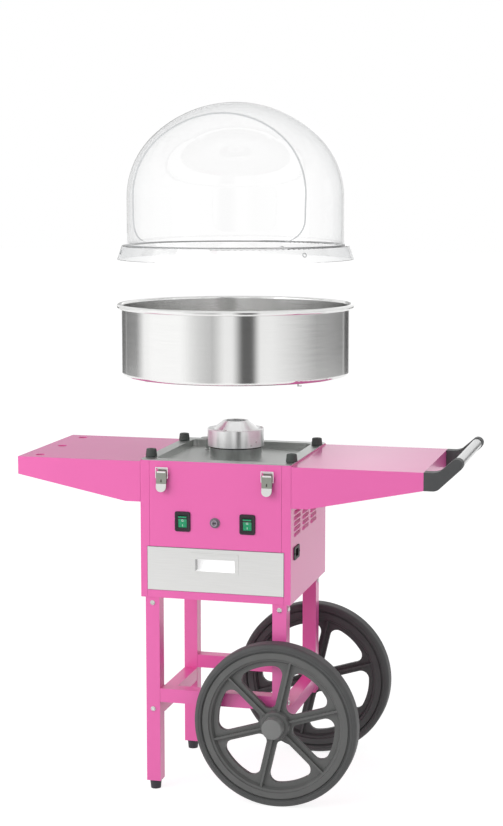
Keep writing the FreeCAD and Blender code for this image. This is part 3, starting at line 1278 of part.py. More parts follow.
def dome():
    """The clear dome: skirt, upright wall, shoulder and crown, cut open at the front."""
    body = new_body("dome", "0", "0", DOME_BOTTOM)
    spring = "(flange_height + dome_upright)"
    middle = "(dome_radius - dome_shoulder)"
    rise = "sqrt((dome_crown - dome_shoulder)^2 - %s^2)" % middle
    crown_middle = "(%s - %s)" % (spring, rise)
    share = "(dome_crown - dome_shoulder)"
    inner = "(dome_radius - dome_wall)"
    inner_crown = "(dome_crown - dome_wall)"
    foot = "(%s - skirt_inset)" % BOWL_RIM
    revolve(body, "XZ", outline(
        (foot, "0"),
        ("flange_top_radius", "flange_height - 3", "3.4", LEFT_TURN),
        ("flange_top_radius - 3", "flange_height"),
        ("dome_radius + 3", "flange_height", "3", RIGHT_TURN),
        ("dome_radius", "flange_height + 3"),
        ("dome_radius", spring, "dome_shoulder", LEFT_TURN),
        ("dome_crown * %s / %s" % (middle, share), "%s + dome_crown * %s / %s" % (crown_middle, rise, share),
         "dome_crown", LEFT_TURN),
        ("0", crown_middle + " + dome_crown"),
        ("0", "%s + %s" % (crown_middle, inner_crown), inner_crown, RIGHT_TURN),
        ("%s * %s / %s" % (inner_crown, middle, share),
         "%s + %s * %s / %s" % (crown_middle, inner_crown, rise, share),
         "(dome_shoulder - dome_wall)", RIGHT_TURN),
        (inner, spring),
        (inner, "flange_height - dome_wall"),
        ("flange_top_radius - dome_wall", "flange_height - dome_wall"),
        (foot + " - dome_wall", "0")))
    top = "(%s + dome_crown + 10)" % crown_middle
    sill = "(flange_height + cut_sill)"
    corner_top = "(%s + cut_corner)" % sill
    lean = "(cut_bend - sqrt(cut_bend^2 - (%s - %s)^2))" % (top, corner_top)
    reach = "(dome_radius + 40)"
    cut_between(body, "YZ", "-" + reach, reach, outline(
        ("-" + reach, sill),
        ("-cut_front - cut_corner", sill, "cut_corner", LEFT_TURN),
        ("-cut_front", corner_top, "cut_bend", RIGHT_TURN),
        ("-cut_front + " + lean, top),
        ("-" + reach, top)))


# Build ----------------------------------------------------------------------------------

def build():
    """Makes every piece, each in the place where it is in use or lifted off."""
    for side, sign in (("left", -1), ("right", 1)):
        side_panel(side, sign)
        shelf(side, sign)
        side_rail(side, sign)
        switch_bezel(side, sign)
        rocker(side, sign)
        latch_base(side, sign)
        latch_lever(side, sign)
        latch_bail(side, sign)
    rear_panel()
    front_panel()
    base_plate()
    top_tray()
    rubber_posts()
    tray_stud()
    handle_bracket("front", -1)
    handle_bracket("rear", 1)
    handle_tube()
    for leg_place in LEGS:
        leg(leg_place)
    cross_rail("front", "-leg_front_y")
    cross_rail("rear", "leg_rear_y")
    leg_glides()
    frame_bolts()
    axle()
    for end, along, facing in (("front", "-wheel_front_y", -1), ("rear", "wheel_rear_y", 1)):
        wheel(end, along)
        tyre(end, along)
        hub_cap(end, along, facing)
    drawer_runners()
    drawer_front()
    drawer_tray()
    drawer_pull()
    fuse_holder()
    fuse_cap()
    power_inlet()
    motor()
    motor_bracket()
    head_pedestal()
    seal_ring()
    spinner_shaft()
    head_drum()
    head_cone()
    heating_element()
    head_screws()
    bowl()
    bowl_hooks()
    dome()
    doc.recompute()


def check_and_export():
    """Stops if anything failed to build, then writes one STEP file for each piece."""
    for item in doc.Objects:
        if {"Invalid", "Error"} & set(item.State):
            raise RuntimeError("%s (%s) failed to build: %s" % (item.Name, item.Label, item.State))
    for piece in kept:
        if piece.Shape.isNull() or not piece.Shape.isValid() or not piece.Shape.Solids:
            raise RuntimeError("%s has no valid solid" % piece.Label)
    os.makedirs("parts", exist_ok=True)
    for piece in kept:
        piece.Shape.exportStep("parts/%s.step" % piece.Label)


write_sheet()
build()
check_and_export()
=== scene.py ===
"""Dresses a candy-floss cart: finishes for its solids, finer pieces on them, and a plain studio."""

import math

import bmesh
import bpy
from bpy.props import FloatProperty, FloatVectorProperty, IntProperty, PointerProperty
from mathutils import Matrix, Vector


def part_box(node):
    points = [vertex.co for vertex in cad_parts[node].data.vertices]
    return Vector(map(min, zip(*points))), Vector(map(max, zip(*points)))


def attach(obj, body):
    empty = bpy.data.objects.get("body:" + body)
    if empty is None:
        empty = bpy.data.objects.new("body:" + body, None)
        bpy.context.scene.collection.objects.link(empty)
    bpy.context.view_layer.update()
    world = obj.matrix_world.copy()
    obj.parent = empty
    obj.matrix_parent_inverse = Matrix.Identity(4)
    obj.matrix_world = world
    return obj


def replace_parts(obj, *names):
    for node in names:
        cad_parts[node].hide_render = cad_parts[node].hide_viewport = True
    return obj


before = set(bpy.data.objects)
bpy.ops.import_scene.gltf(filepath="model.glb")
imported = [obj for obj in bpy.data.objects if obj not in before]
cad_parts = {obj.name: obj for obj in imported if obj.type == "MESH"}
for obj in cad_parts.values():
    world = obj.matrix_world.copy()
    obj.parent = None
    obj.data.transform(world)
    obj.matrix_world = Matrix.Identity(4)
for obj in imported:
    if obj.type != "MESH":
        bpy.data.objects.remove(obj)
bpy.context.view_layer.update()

bl_info = {
    "name": "Candy-floss cart",
    "version": (1, 0, 0),
    "blender": (4, 5, 0),
    "location": "View3D > Sidebar > Cart",
    "description": "Finishes and fine pieces of a candy-floss cart",
    "category": "Object",
}

MILLIMETRE = 0.001
FRONT_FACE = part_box("front_panel")[0].y
SIDES = (("left", -1), ("right", 1))
ENDS = (("front", -1), ("rear", 1))

# How far outside a piece a ray starts that looks for its surface.
PROBE = 20 * MILLIMETRE

# What is moulded or cast: light and dark colour, roughness, grain and relief in millimetres, and glow.
MOULDED = {
    # The white liner's glow is painted light and the grey liner is painted shade, both in the cup of the
    # drawer's pull.
    "white_liner_painted_glow": ("FCFCFC", "F2F2F2", 0.4, 0.8, 0.02, 0.22),
    "grey_liner_painted_shade": ("B4B4B4", "A6A6A6", 0.4, 0.8, 0.02, 0.0),
    "moulded_rubber": ("4A504D", "3C423F", 0.55, 0.8, 0.05, 0.0),
    "glide_rubber": ("38353C", "2A282E", 0.55, 0.8, 0.05, 0.0),
    "black_seal": ("1E1F1F", "151616", 0.5, 0.8, 0.03, 0.0),
    "moulded_nylon": ("4C4D4E", "414243", 0.5, 0.7, 0.04, 0.0),
    "satin_abs": ("181618", "100E10", 0.5, 0.6, 0.02, 0.0),
    "painted_casting": ("6E706F", "5C5E5D", 0.45, 1.2, 0.05, 0.0),
    "gloss_abs": ("2A1E28", "1E151C", 0.26, 0.6, 0.02, 0.0),
    "grey_abs": ("857B86", "6E6570", 0.3, 0.6, 0.02, 0.0),
    # Pale plastic for the fuse cap's ring: a painted highlight.
    "pale_abs_painted_highlight": ("B4AAB6", "A298A4", 0.3, 0.6, 0.02, 0.0),
    # Front and rear copies of the wheels' plastic and rubber are painted light and shade: the rear copies are
    # darker because the rear wheel stands in shade.
    "moulded_polypropylene_front": ("656665", "585958", 0.5, 0.9, 0.05, 0.0),
    "moulded_polypropylene_rear": ("474848", "3C3D3D", 0.5, 0.9, 0.05, 0.0),
    "hub_cap_plastic_painted_light_and_shade_front": ("808180", "747574", 0.45, 0.9, 0.04, 0.0),
    "hub_cap_plastic_painted_light_and_shade_rear": ("474848", "3C3D3D", 0.45, 0.9, 0.04, 0.0),
    "tyre_compound_painted_light_and_shade_front": ("545555", "464747", 0.55, 0.9, 0.06, 0.0),
    "tyre_compound_painted_light_and_shade_rear": ("4A4B4B", "3E3F3F", 0.55, 0.9, 0.06, 0.0),
}

# Plated steel, and small stainless pieces: light and dark colour, roughness, and spangle in millimetres.
PLATED = {
    "zinc_plated_screws": ("C4C5C2", "A6A8A4", 0.27, 4),
    "bright_zinc": ("E2E3E1", "C6C8C5", 0.27, 4),
    "black_zinc": ("5A5C5C", "484A4A", 0.27, 4),
    "stainless_rivets": ("D4D5D3", "BFC1BE", 0.27, 4),
    "dull_zinc": ("A9ACA3", "9A9E94", 0.36, 14),
    # A near-white copy of the plating for the latches' bail, tab, roll and curl: painted highlight.
    "plating_painted_highlight": ("FAFAF8", "F0F0EE", 0.3, 20),
}

# Brushed stainless sheet: light and dark colour, and roughness.
BRUSHED = {
    "brushed_stainless_tray": ("C8CAC8", "ACAFAC", 0.34),
    "brushed_stainless_stud": ("B4B6B4", "9A9D9A", 0.3),
    "brushed_stainless_drawer": ("F2F2F1", "E2E2E0", 0.38),
    # Darker than the tray's steel: the spinner pedestal's dark reflection is painted into its colour.
    "stainless_painted_dark_reflection": ("B4B6B5", "A0A3A1", 0.3),
}


# Nodes ----------------------------------------------------------------------------------

def linear(text):
    """An sRGB hex colour as linear red, green, blue and alpha."""
    parts = [int(text[index:index + 2], 16) / 255 for index in (0, 2, 4)]
    parts = [part / 12.92 if part <= 0.04045 else ((part + 0.055) / 1.055) ** 2.4 for part in parts]
    return (*parts, 1.0)


def plug(tree, inputs, sources):
    """Gives sockets what they take: a value, or a link from another node's socket."""
    for name, source in sources.items():
        if isinstance(source, bpy.types.NodeSocket):
            tree.links.new(source, inputs[name])
        else:
            inputs[name].default_value = source


def add_node(tree, kind, sources=None, **settings):
    """Adds a node with its settings, and sources for its sockets."""
    made = tree.nodes.new(kind)
    for name, value in settings.items():
        setattr(made, name, value)
    plug(tree, made.inputs, sources or {})
    return made


def feed(tree, shader, **sources):
    """Gives the shader sources for its sockets, named with underscores for spaces."""
    plug(tree, shader.inputs, {name.replace("_", " "): source for name, source in sources.items()})


def empty_material(name):
    """A material with no nodes, and its tree."""
    material = bpy.data.materials.new(name)
    material.use_nodes = True
    material.node_tree.nodes.clear()
    return material, material.node_tree


def new_material(name):
    """A material with a shader: also its tree, its shader and the piece's own coordinates."""
    material, tree = empty_material(name)
    shader = add_node(tree, "ShaderNodeBsdfPrincipled")
    add_node(tree, "ShaderNodeOutputMaterial", {"Surface": shader.outputs["BSDF"]})
    place = add_node(tree, "ShaderNodeTexCoord").outputs["Object"]
    return material, tree, shader, place


def vary(tree, pattern, low, high):
    """A source that runs from low to high with a pattern: between two numbers, or two sRGB hex colours."""
    if isinstance(low, str):
        mix = add_node(tree, "ShaderNodeMix", {"Factor": pattern}, data_type="RGBA")
        ends = [socket for socket in mix.inputs if socket.type == "RGBA"]
        for socket, colour in zip(ends, (low, high)):
            socket.default_value = linear(colour)
        return [socket for socket in mix.outputs if socket.type == "RGBA"][0]
    ramp = add_node(tree, "ShaderNodeMapRange", {"Value": pattern, "To Min": low, "To Max": high})
    return ramp.outputs["Result"]


def grain(tree, place, sizes, detail=2.0):
    """A noise whose grain measures so many millimetres along X, Y and Z."""
    scale = [1 / (size * MILLIMETRE) for size in sizes]
    scaled = add_node(tree, "ShaderNodeMapping", {"Vector": place, "Scale": scale}).outputs["Vector"]
    noise = add_node(tree, "ShaderNodeTexNoise", {"Vector": scaled, "Scale": 1.0, "Detail": detail})
    return noise.outputs["Fac"]


def relief(tree, height, depth, rounding=0.6, strength=0.5):
    """Bumps of a depth in millimetres, on edges rounded by a radius in millimetres."""
    edge = add_node(tree, "ShaderNodeBevel", {"Radius": rounding * MILLIMETRE}, samples=4).outputs["Normal"]
    bump = add_node(tree, "ShaderNodeBump", {
        "Height": height, "Distance": depth * MILLIMETRE, "Strength": strength, "Normal": edge})
    return bump.outputs["Normal"]


# Materials ------------------------------------------------------------------------------

def powder_coated_steel(finishes, cloud_size=160):
    """Mild steel sheet under baked powder: an even colour, and a gloss that pales at a glancing view."""
    material, tree, shader, place = new_material("powder_coated_steel")
    cloud = grain(tree, place, [cloud_size] * 3)
    peel = grain(tree, place, [finishes.orange_peel] * 3)
    tone = add_node(tree, "ShaderNodeHueSaturation", {
        "Color": (*finishes.paint, 1.0), "Value": vary(tree, cloud, 0.97, 1.02)})
    feed(tree, shader, Base_Color=tone.outputs["Color"], Roughness=vary(tree, cloud, 0.40, 0.48),
         Coat_Weight=finishes.coat, Coat_Roughness=0.16, Normal=relief(tree, peel, 0.03))
    return material


def brushed_stainless(name, stroke=60, hairline=0.8):
    """Stainless sheet brushed from side to side: long hairlines that soften what it mirrors.

    The hairlines are wider than real ones, so that they show.
    """
    material, tree, shader, place = new_material(name)
    light, dark, roughness = BRUSHED[name]
    lines = grain(tree, place, (stroke, hairline, hairline), detail=3.0)
    feed(tree, shader, Metallic=1.0, Base_Color=vary(tree, lines, dark, light),
         Roughness=vary(tree, lines, roughness - 0.05, roughness + 0.08), Normal=relief(tree, lines, 0.02))
    return material


def turned_metal(name, light, dark, roughness, anisotropic, ring_pitch, stroke=90):
    """Metal finished as it turned: fine rings round the axis, so what it mirrors stands in upright bands."""
    material, tree, shader, place = new_material(name)
    rings = grain(tree, place, (stroke, stroke, ring_pitch), detail=3.0)
    tangent = add_node(tree, "ShaderNodeTangent", direction_type="RADIAL", axis="Z").outputs["Tangent"]
    feed(tree, shader, Metallic=1.0, Anisotropic=anisotropic, Anisotropic_Rotation=0.25, Tangent=tangent,
         Base_Color=vary(tree, rings, dark, light),
         Roughness=vary(tree, rings, roughness - 0.03, roughness + 0.04), Normal=relief(tree, rings, 0.01))
    return material


def drawn_aluminium(stroke=90, draw_line=0.8):
    """Satin aluminium tube: draw lines along its length, wider than real ones, so that they show."""
    material, tree, shader, place = new_material("drawn_aluminium")
    lines = grain(tree, place, (draw_line, stroke, draw_line), detail=3.0)
    feed(tree, shader, Metallic=1.0, Base_Color=vary(tree, lines, "CBCCCC", "E0E1E1"),
         Roughness=vary(tree, lines, 0.26, 0.36), Normal=relief(tree, lines, 0.02))
    return material


def plated_steel(name, rounding=0.25):
    """Plated or stainless steel: clear reflections, and a cloudiness as coarse as its spangle."""
    material, tree, shader, place = new_material(name)
    light, dark, roughness, spangle = PLATED[name]
    cloud = grain(tree, place, [spangle] * 3)
    feed(tree, shader, Metallic=1.0, Base_Color=vary(tree, cloud, dark, light),
         Roughness=vary(tree, cloud, roughness - 0.07, roughness + 0.07),
         Normal=relief(tree, cloud, 0.01, rounding))
    return material


def moulded(name, cloud_size=35):
    """Moulded polymer or rubber, or a painted casting: an even colour, and the grain of the mould.

    The grain is coarser than a real one, so that it shows.
    """
    material, tree, shader, place = new_material(name)
    light, dark, roughness, texture, depth, glow = MOULDED[name]
    cloud = grain(tree, place, [cloud_size] * 3)
    pits = grain(tree, place, [texture] * 3, detail=4.0)
    # Glow is painted light; only the white liner in the drawer pull's cup has any.
    feed(tree, shader, IOR=1.5, Base_Color=vary(tree, cloud, dark, light),
         Emission_Color=linear(light), Emission_Strength=glow,
         Roughness=vary(tree, pits, roughness - 0.06, roughness + 0.08), Normal=relief(tree, pits, depth))
    return material


def clear_acrylic(name, sharpness, cloud_size=120):
    """Blown acrylic sheet: clear where it is looked through squarely, and grey where it curves away, a
    painted shade for the dark reflections at its edges.
    """
    material, tree, shader, place = new_material(name)
    facing = add_node(tree, "ShaderNodeLayerWeight", {"Blend": 0.5}).outputs["Facing"]
    painted_shade_share = add_node(tree, "ShaderNodeMath", {0: facing, 1: sharpness}, operation="POWER").outputs[0]
    haze = grain(tree, place, [cloud_size] * 3, detail=1.0)
    # Painted shade: the tint greys as the surface turns from the view.
    feed(tree, shader, IOR=1.49, Transmission_Weight=1.0, Base_Color=vary(tree, painted_shade_share, "FFFFFF", "ACAFB1"),
         Roughness=vary(tree, haze, 0.0, 0.02))
    return material


def satin_acrylic(name, light, dark, mark=4):
    """Acrylic sheet where it was sawn or cemented, a satin: it reads as a thin grey line."""
    material, tree, shader, place = new_material(name)
    marks = grain(tree, place, [mark] * 3)
    feed(tree, shader, IOR=1.49, Base_Color=vary(tree, marks, dark, light),
         Roughness=vary(tree, marks, 0.25, 0.4))
    return material


def translucent_polycarbonate(cloud_size=6):
    """Moulded green polycarbonate of a rocker: glossy, a little translucent and lit from behind."""
    material, tree, shader, place = new_material("translucent_polycarbonate")
    cloud = grain(tree, place, [cloud_size] * 3)
    feed(tree, shader, IOR=1.58, Base_Color=vary(tree, cloud, "007A4C", "08986A"),
         Emission_Color=linear("00A468"), Emission_Strength=0.12,
         Roughness=vary(tree, cloud, 0.22, 0.32), Normal=relief(tree, cloud, 0.05, 0.3))
    return material


def printed_ink(blotch=2):
    """White pad-printed ink: matt and slightly uneven."""
    material, tree, shader, place = new_material("printed_ink")
    cloud = grain(tree, place, [blotch] * 3)
    feed(tree, shader, Base_Color=vary(tree, cloud, "C8DED4", "E4F2EC"),
         Roughness=vary(tree, cloud, 0.5, 0.7))
    return material


# Shapes ---------------------------------------------------------------------------------

def at(place, out=(0, 0, 1)):
    """A matrix at a place, in metres, with its Z along out and its Y as far up as that allows."""
    z = Vector(out).normalized()
    up = Vector((0, 1, 0)) if abs(z.z) > 0.99 else Vector((0, 0, 1))
    x = up.cross(z).normalized()
    return Matrix.Translation(Vector(place)) @ Matrix((x, z.cross(x), z)).transposed().to_4x4()


def loop(shape, matrix, points):
    """Adds a ring of vertices, from points in millimetres."""
    return [shape.verts.new(matrix @ (Vector(point) * MILLIMETRE)) for point in points]


def skin(shape, loops):
    """Joins loops, one after another, with faces; a loop may be a single point."""
    count = max(len(each) for each in loops)
    for near, far in zip(loops, loops[1:]):
        for step in range(count):
            after = (step + 1) % count
            corners = [near[step % len(near)], near[after % len(near)]]
            corners += [far[after % len(far)], far[step % len(far)]]
            shape.faces.new(list(dict.fromkeys(corners)))


def lathe(shape, matrix, profile, steps=32):
    """Adds a form turned about the Z of a matrix, from (radius, rise) points in millimetres."""
    loops = []
    for radius, rise in profile:
        turns = [math.tau * step / steps for step in range(steps)] if radius else [0]
        ring = [(radius * math.cos(turn), radius * math.sin(turn), rise) for turn in turns]
        loops.append(loop(shape, matrix, ring))
    skin(shape, loops)


def barrel(shape, matrix, radius, half, chamfer, steps):
    """Adds a round bar with chamfered ends, centred on a matrix and along its Z."""
    lathe(shape, matrix, [(0, -half), (radius - chamfer, -half), (radius, chamfer - half),
                          (radius, half - chamfer), (radius - chamfer, half), (0, half)], steps)


def rim(shape, matrix, half_width, half_height, corner, profile, steps=6, sharpest=0.2):
    """Adds a frame: a profile of (inset, rise) points carried round a rectangle with round corners."""
    loops = []
    for inset, rise in profile:
        radius = max(corner - inset, sharpest)
        points = []
        for quarter, (right, top) in enumerate(((1, 1), (-1, 1), (-1, -1), (1, -1))):
            for step in range(steps + 1):
                angle = math.radians(90 * (quarter + step / steps))
                points.append((right * (half_width - inset - radius) + radius * math.cos(angle),
                               top * (half_height - inset - radius) + radius * math.sin(angle), rise))
        loops.append(loop(shape, matrix, points))
    skin(shape, loops)


def plate(shape, matrix, points, thickness):
    """Adds a flat plate on the XY plane of a matrix, from the points of its outline in millimetres."""
    low = loop(shape, matrix, [(x, y, 0) for x, y in points])
    high = loop(shape, matrix, [(x, y, thickness) for x, y in points])
    shape.faces.new(low)
    shape.faces.new(high)
    skin(shape, [low, high])


def strip(shape, matrix, half_width, half_height, thickness):
    """Adds a rectangular plate centred on a matrix."""
    signs = ((-1, -1), (1, -1), (1, 1), (-1, 1))
    plate(shape, matrix, [(right * half_width, up * half_height) for right, up in signs], thickness)


def pan_head(shape, matrix, radius, height):
    """Adds a screw's rounded head with a hexagon socket."""
    socket = 0.45 * radius
    lathe(shape, matrix, [(radius, 0), (radius, 0.4 * height), (0.8 * radius, 0.85 * height),
                          (0.6 * radius, height), (socket, height)], steps=24)
    lathe(shape, matrix, [(socket, height), (socket, 0.3 * height), (0, 0.3 * height)], steps=6)


def keep(name, shape, material, body, sharp=35):
    """Makes a named piece of a shape; it rides on a body and takes its finish from a slot."""
    bmesh.ops.remove_doubles(shape, verts=shape.verts, dist=1e-7)
    bmesh.ops.recalc_face_normals(shape, faces=shape.faces)
    mesh = bpy.data.meshes.new(name)
    shape.to_mesh(mesh)
    shape.free()
    mesh.shade_smooth()
    mesh.set_sharp_from_angle(angle=math.radians(sharp))
    mesh.materials.append(material)
    piece = bpy.data.objects.new(name, mesh)
    bpy.context.scene.collection.objects.link(piece)
    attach(piece, body)
    return piece


def dress(material, *nodes):
    """Gives solids a finish."""
    for name in nodes:
        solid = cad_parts[name]
        solid.data.materials.clear()
        solid.data.materials.append(material)


def dress_faces(material, node, chosen):
    """Gives a second finish to those faces of a solid whose middle and normal are chosen."""
    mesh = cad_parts[node].data
    mesh.materials.append(material)
    for face in mesh.polygons:
        if chosen(face.center, face.normal):
            face.material_index = len(mesh.materials) - 1


def middle(node):
    """The middle of a node's box."""
    low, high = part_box(node)
    return (low + high) / 2


def half_sizes(node):
    """Half of a node's width, depth and height, in millimetres."""
    low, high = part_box(node)
    return [(far - near) / 2 / MILLIMETRE for near, far in zip(low, high)]


def touch(node, start, direction):
    """Where a ray first meets a solid, and the way its surface faces there."""
    hit, place, normal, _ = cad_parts[node].ray_cast(Vector(start), Vector(direction))
    if not hit:
        raise RuntimeError("the ray misses %s" % node)
    return place, normal


def front_of(node, across, level):
    """Where a solid's front lies at a place across and a level, and the way it faces there."""
    return touch(node, (across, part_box(node)[0].y - PROBE, level), (0, 1, 0))


# Settings -------------------------------------------------------------------------------

class CartFinishes(bpy.types.PropertyGroup):
    """Colours and grain that a user would change."""
    paint: FloatVectorProperty(
        name="Paint", description="Colour of the powder coat", subtype="COLOR", size=3,
        default=linear("EE64B1")[:3])
    coat: FloatProperty(
        name="Gloss", description="How much of the powder coat has flowed out to a gloss", subtype="FACTOR",
        default=0.6, min=0, max=1)
    orange_peel: FloatProperty(
        name="Orange peel", description="Grain of the powder coat in millimetres, coarser than real to show",
        default=3.0, min=0.5)


class CartSizes(bpy.types.PropertyGroup):
    """Sizes of the fine pieces, in millimetres."""
    vent_length: FloatProperty(name="Louvre length", description="Louvre over a vent slot", default=57.0)
    vent_depth: FloatProperty(name="Louvre depth", description="How far a louvre stands out", default=3.2)
    vent_rows: IntProperty(name="Louvre rows", description="Louvres in a column", default=6)
    vent_columns: IntProperty(name="Louvre columns", description="Columns of louvres on a side", default=3)
    vent_rise: FloatProperty(
        name="Louvre rise", description="From one louvre to the next above it", default=12.0)
    vent_step: FloatProperty(name="Louvre step", description="From one column to the next", default=79.0)
    vent_low: FloatProperty(
        name="Louvre level", description="Lowest vent slot above the floor", default=576.0)
    vent_front: FloatProperty(
        name="Louvre front", description="Front column, rearwards of the axis", default=-111.0)
    post_rounding: FloatProperty(
        name="Post rounding", description="Rounding on top of a rubber post", default=1.8)
    bezel_corner: FloatProperty(
        name="Bezel corner", description="Corner radius of a switch's frame", default=5.0)
    bead_height: FloatProperty(name="Tyre bead", description="Rib on a tyre's side", default=0.9)


class CartStage(bpy.types.PropertyGroup):
    """Camera, lamps and room."""
    camera_place: FloatVectorProperty(
        name="Camera", description="Where the camera stands", subtype="TRANSLATION", size=3,
        default=(0.96848, -3.74804, 1.31583))
    camera_turn: FloatProperty(
        name="Turn", description="Camera's turn to the left", subtype="ANGLE", default=0.254015)
    camera_dip: FloatProperty(
        name="Dip", description="Camera's tilt below level", subtype="ANGLE", default=0.128362)
    focal_pixels: FloatProperty(
        name="Focal length", description="Focal length in pixels", default=1774.28)
    frame_height: IntProperty(
        name="Frame height", description="Height of the picture in pixels", default=826)
    key_light: FloatProperty(
        name="Key", description="Brightness of the key panel's surface", default=1.4)
    wash_light: FloatProperty(
        name="Wash", description="Brightness of the wash panel's surface", default=2.9)
    fill_light: FloatProperty(
        name="Fill", description="Brightness of the fill panel's surface", default=0.3)
    room_light: FloatProperty(
        name="Room", description="Strength of the room's even light", default=0.58)


# Operators ------------------------------------------------------------------------------

class CART_OT_sheet_metal(bpy.types.Operator):
    """Finishes the painted housing, shelves and frame, and the bare steel of the tray and drawer"""
    bl_idname = "cart.sheet_metal"
    bl_label = "Sheet metal"

    def execute(self, context):
        legs = ["leg_%s_%s" % (end, side) for end, _ in ENDS for side, _ in SIDES]
        pairs = ("side_panel", "shelf", "side_rail")
        paired = ["%s_%s" % (part, side) for part in pairs for side, _ in SIDES]
        paint = powder_coated_steel(context.scene.cart_finishes)
        dress(paint, "rear_panel", "front_panel", "base_plate", "front_rail", "rear_rail", *legs, *paired)
        dress(brushed_stainless("brushed_stainless_tray"), "top_tray")
        dress(brushed_stainless("brushed_stainless_stud"), "tray_stud")
        dress(brushed_stainless("brushed_stainless_drawer"),
              "drawer_front", "drawer_tray", "drawer_pull", "drawer_runners")
        self.pull_liner()
        self.louvres(context.scene.cart_sizes, paint)
        self.screws()
        return {"FINISHED"}

    def pull_liner(self, lip=0.3):
        """The cup of the drawer's pull, behind its lip: white with a painted glow, and grey as painted shade
        where it faces right.
        """
        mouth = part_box("drawer_front")[0].y + lip * MILLIMETRE
        white = moulded("white_liner_painted_glow")
        grey = moulded("grey_liner_painted_shade")
        # Painted light and shade: the cup glows white, and its faces that face right are grey for shade.
        dress_faces(white, "drawer_pull", lambda place, normal: place.y > mouth)
        dress_faces(grey, "drawer_pull", lambda place, normal: place.y > mouth and normal.x > 0.5)

    def louvres(self, sizes, paint, gauge=0.8):
        """Pressed hoods over the vent slots: closed above, open below."""
        for side, sign in SIDES:
            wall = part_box("side_panel_" + side)[(sign + 1) // 2].x
            shape = bmesh.new()
            for column in range(sizes.vent_columns):
                for row in range(sizes.vent_rows):
                    along = (sizes.vent_front + column * sizes.vent_step) * MILLIMETRE
                    up = (sizes.vent_low + row * sizes.vent_rise) * MILLIMETRE
                    self.louvre(shape, at((wall, along, up), (sign, 0, 0)), sizes)
            hoods = keep("vent_louvres_" + side, shape, paint, "cart", sharp=60)
            hoods.modifiers.new("gauge", "SOLIDIFY").thickness = gauge * MILLIMETRE

    def louvre(self, shape, matrix, sizes, height=8.0, proud=0.2, steps=12, rises=5):
        """Adds one hood whose ends sink into the panel."""
        hoops = []
        for step in range(steps + 1):
            along = 2 * step / steps - 1
            swell = sizes.vent_depth * (1 - along ** 6)
            hoop = []
            for rise in range(rises + 1):
                turn = math.pi / 2 * rise / rises
                up = height * (0.5 - turn / (math.pi / 2))
                hoop.append((along * sizes.vent_length / 2, up, swell * math.sin(turn) + proud))
            hoops.append(loop(shape, matrix, hoop))
        for near, far in zip(hoops, hoops[1:]):
            for index in range(rises):
                shape.faces.new((near[index], near[index + 1], far[index + 1], far[index]))

    def screws(self, inset=8, shares=(0.08, 0.5, 0.92)):
        """Screws that hold the rear panel to the folds of the side panels, at shares of their height."""
        shape = bmesh.new()
        for side, sign in SIDES:
            low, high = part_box("side_panel_" + side)
            across = (high if sign > 0 else low).x - sign * inset * MILLIMETRE
            for share in shares:
                place = (across, high.y, low.z + share * (high.z - low.z))
                pan_head(shape, at(place, (0, 1, 0)), radius=4.2, height=2.6)
        keep("rear_screws", shape, plated_steel("zinc_plated_screws"), "cart")


class CART_OT_fittings(bpy.types.Operator):
    """Finishes the plated, moulded and rubber fittings, rounds the posts and screws the inlet on"""
    bl_idname = "cart.fittings"
    bl_label = "Fittings"

    def execute(self, context):
        dress(plated_steel("bright_zinc"),
              "frame_bolts", "axle", "bowl_hooks", "spinner_shaft", "head_screws", "heating_element")
        dress(drawn_aluminium(), "handle_tube")
        rubber = moulded("moulded_rubber")
        dress(rubber, "rubber_posts")
        dress(moulded("glide_rubber"), "leg_glides")
        dress(moulded("black_seal"), "seal_ring")
        dress(moulded("moulded_nylon"), "handle_bracket_front", "handle_bracket_rear")
        dress(moulded("satin_abs"), "power_inlet")
        dress(moulded("painted_casting"), "motor", "motor_bracket")
        self.posts(rubber, context.scene.cart_sizes.post_rounding)
        self.inlet_screws()
        return {"FINISHED"}

    def posts(self, rubber, rounding, foot=12.5, top=10.8):
        """The four posts that carry the bowl: tapered, with a rounded top and a dimple over the screw."""
        low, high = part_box("rubber_posts")
        height = (high.z - low.z) / MILLIMETRE
        profile = [(0, 0), (foot - 0.6, 0), (foot, 0.8), (foot - 0.2, 2.2), (top + 0.15, height - rounding)]
        for angle in (30, 60, 90):
            turn = math.radians(angle)
            radius = top - rounding * (1 - math.cos(turn))
            profile.append((radius, height - rounding * (1 - math.sin(turn))))
        profile += [(4.2, height), (3.6, height - 1.2), (0, height - 1.4)]
        inset = foot * MILLIMETRE
        shape = bmesh.new()
        for across in (low.x + inset, high.x - inset):
            for along in (low.y + inset, high.y - inset):
                lathe(shape, at((across, along, low.z)), profile)
        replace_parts(keep("bowl_posts", shape, rubber, "cart"), "rubber_posts")

    def inlet_screws(self, inset=4.5, sunk=0.2):
        """Two blackened screws in the inlet's flange."""
        low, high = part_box("power_inlet")
        face = high.x - sunk * MILLIMETRE
        level = middle("power_inlet").z
        shape = bmesh.new()
        for along in (low.y + inset * MILLIMETRE, high.y - inset * MILLIMETRE):
            pan_head(shape, at((face, along, level), (1, 0, 0)), radius=2.6, height=1.4)
        keep("inlet_screws", shape, plated_steel("black_zinc"), "cart")


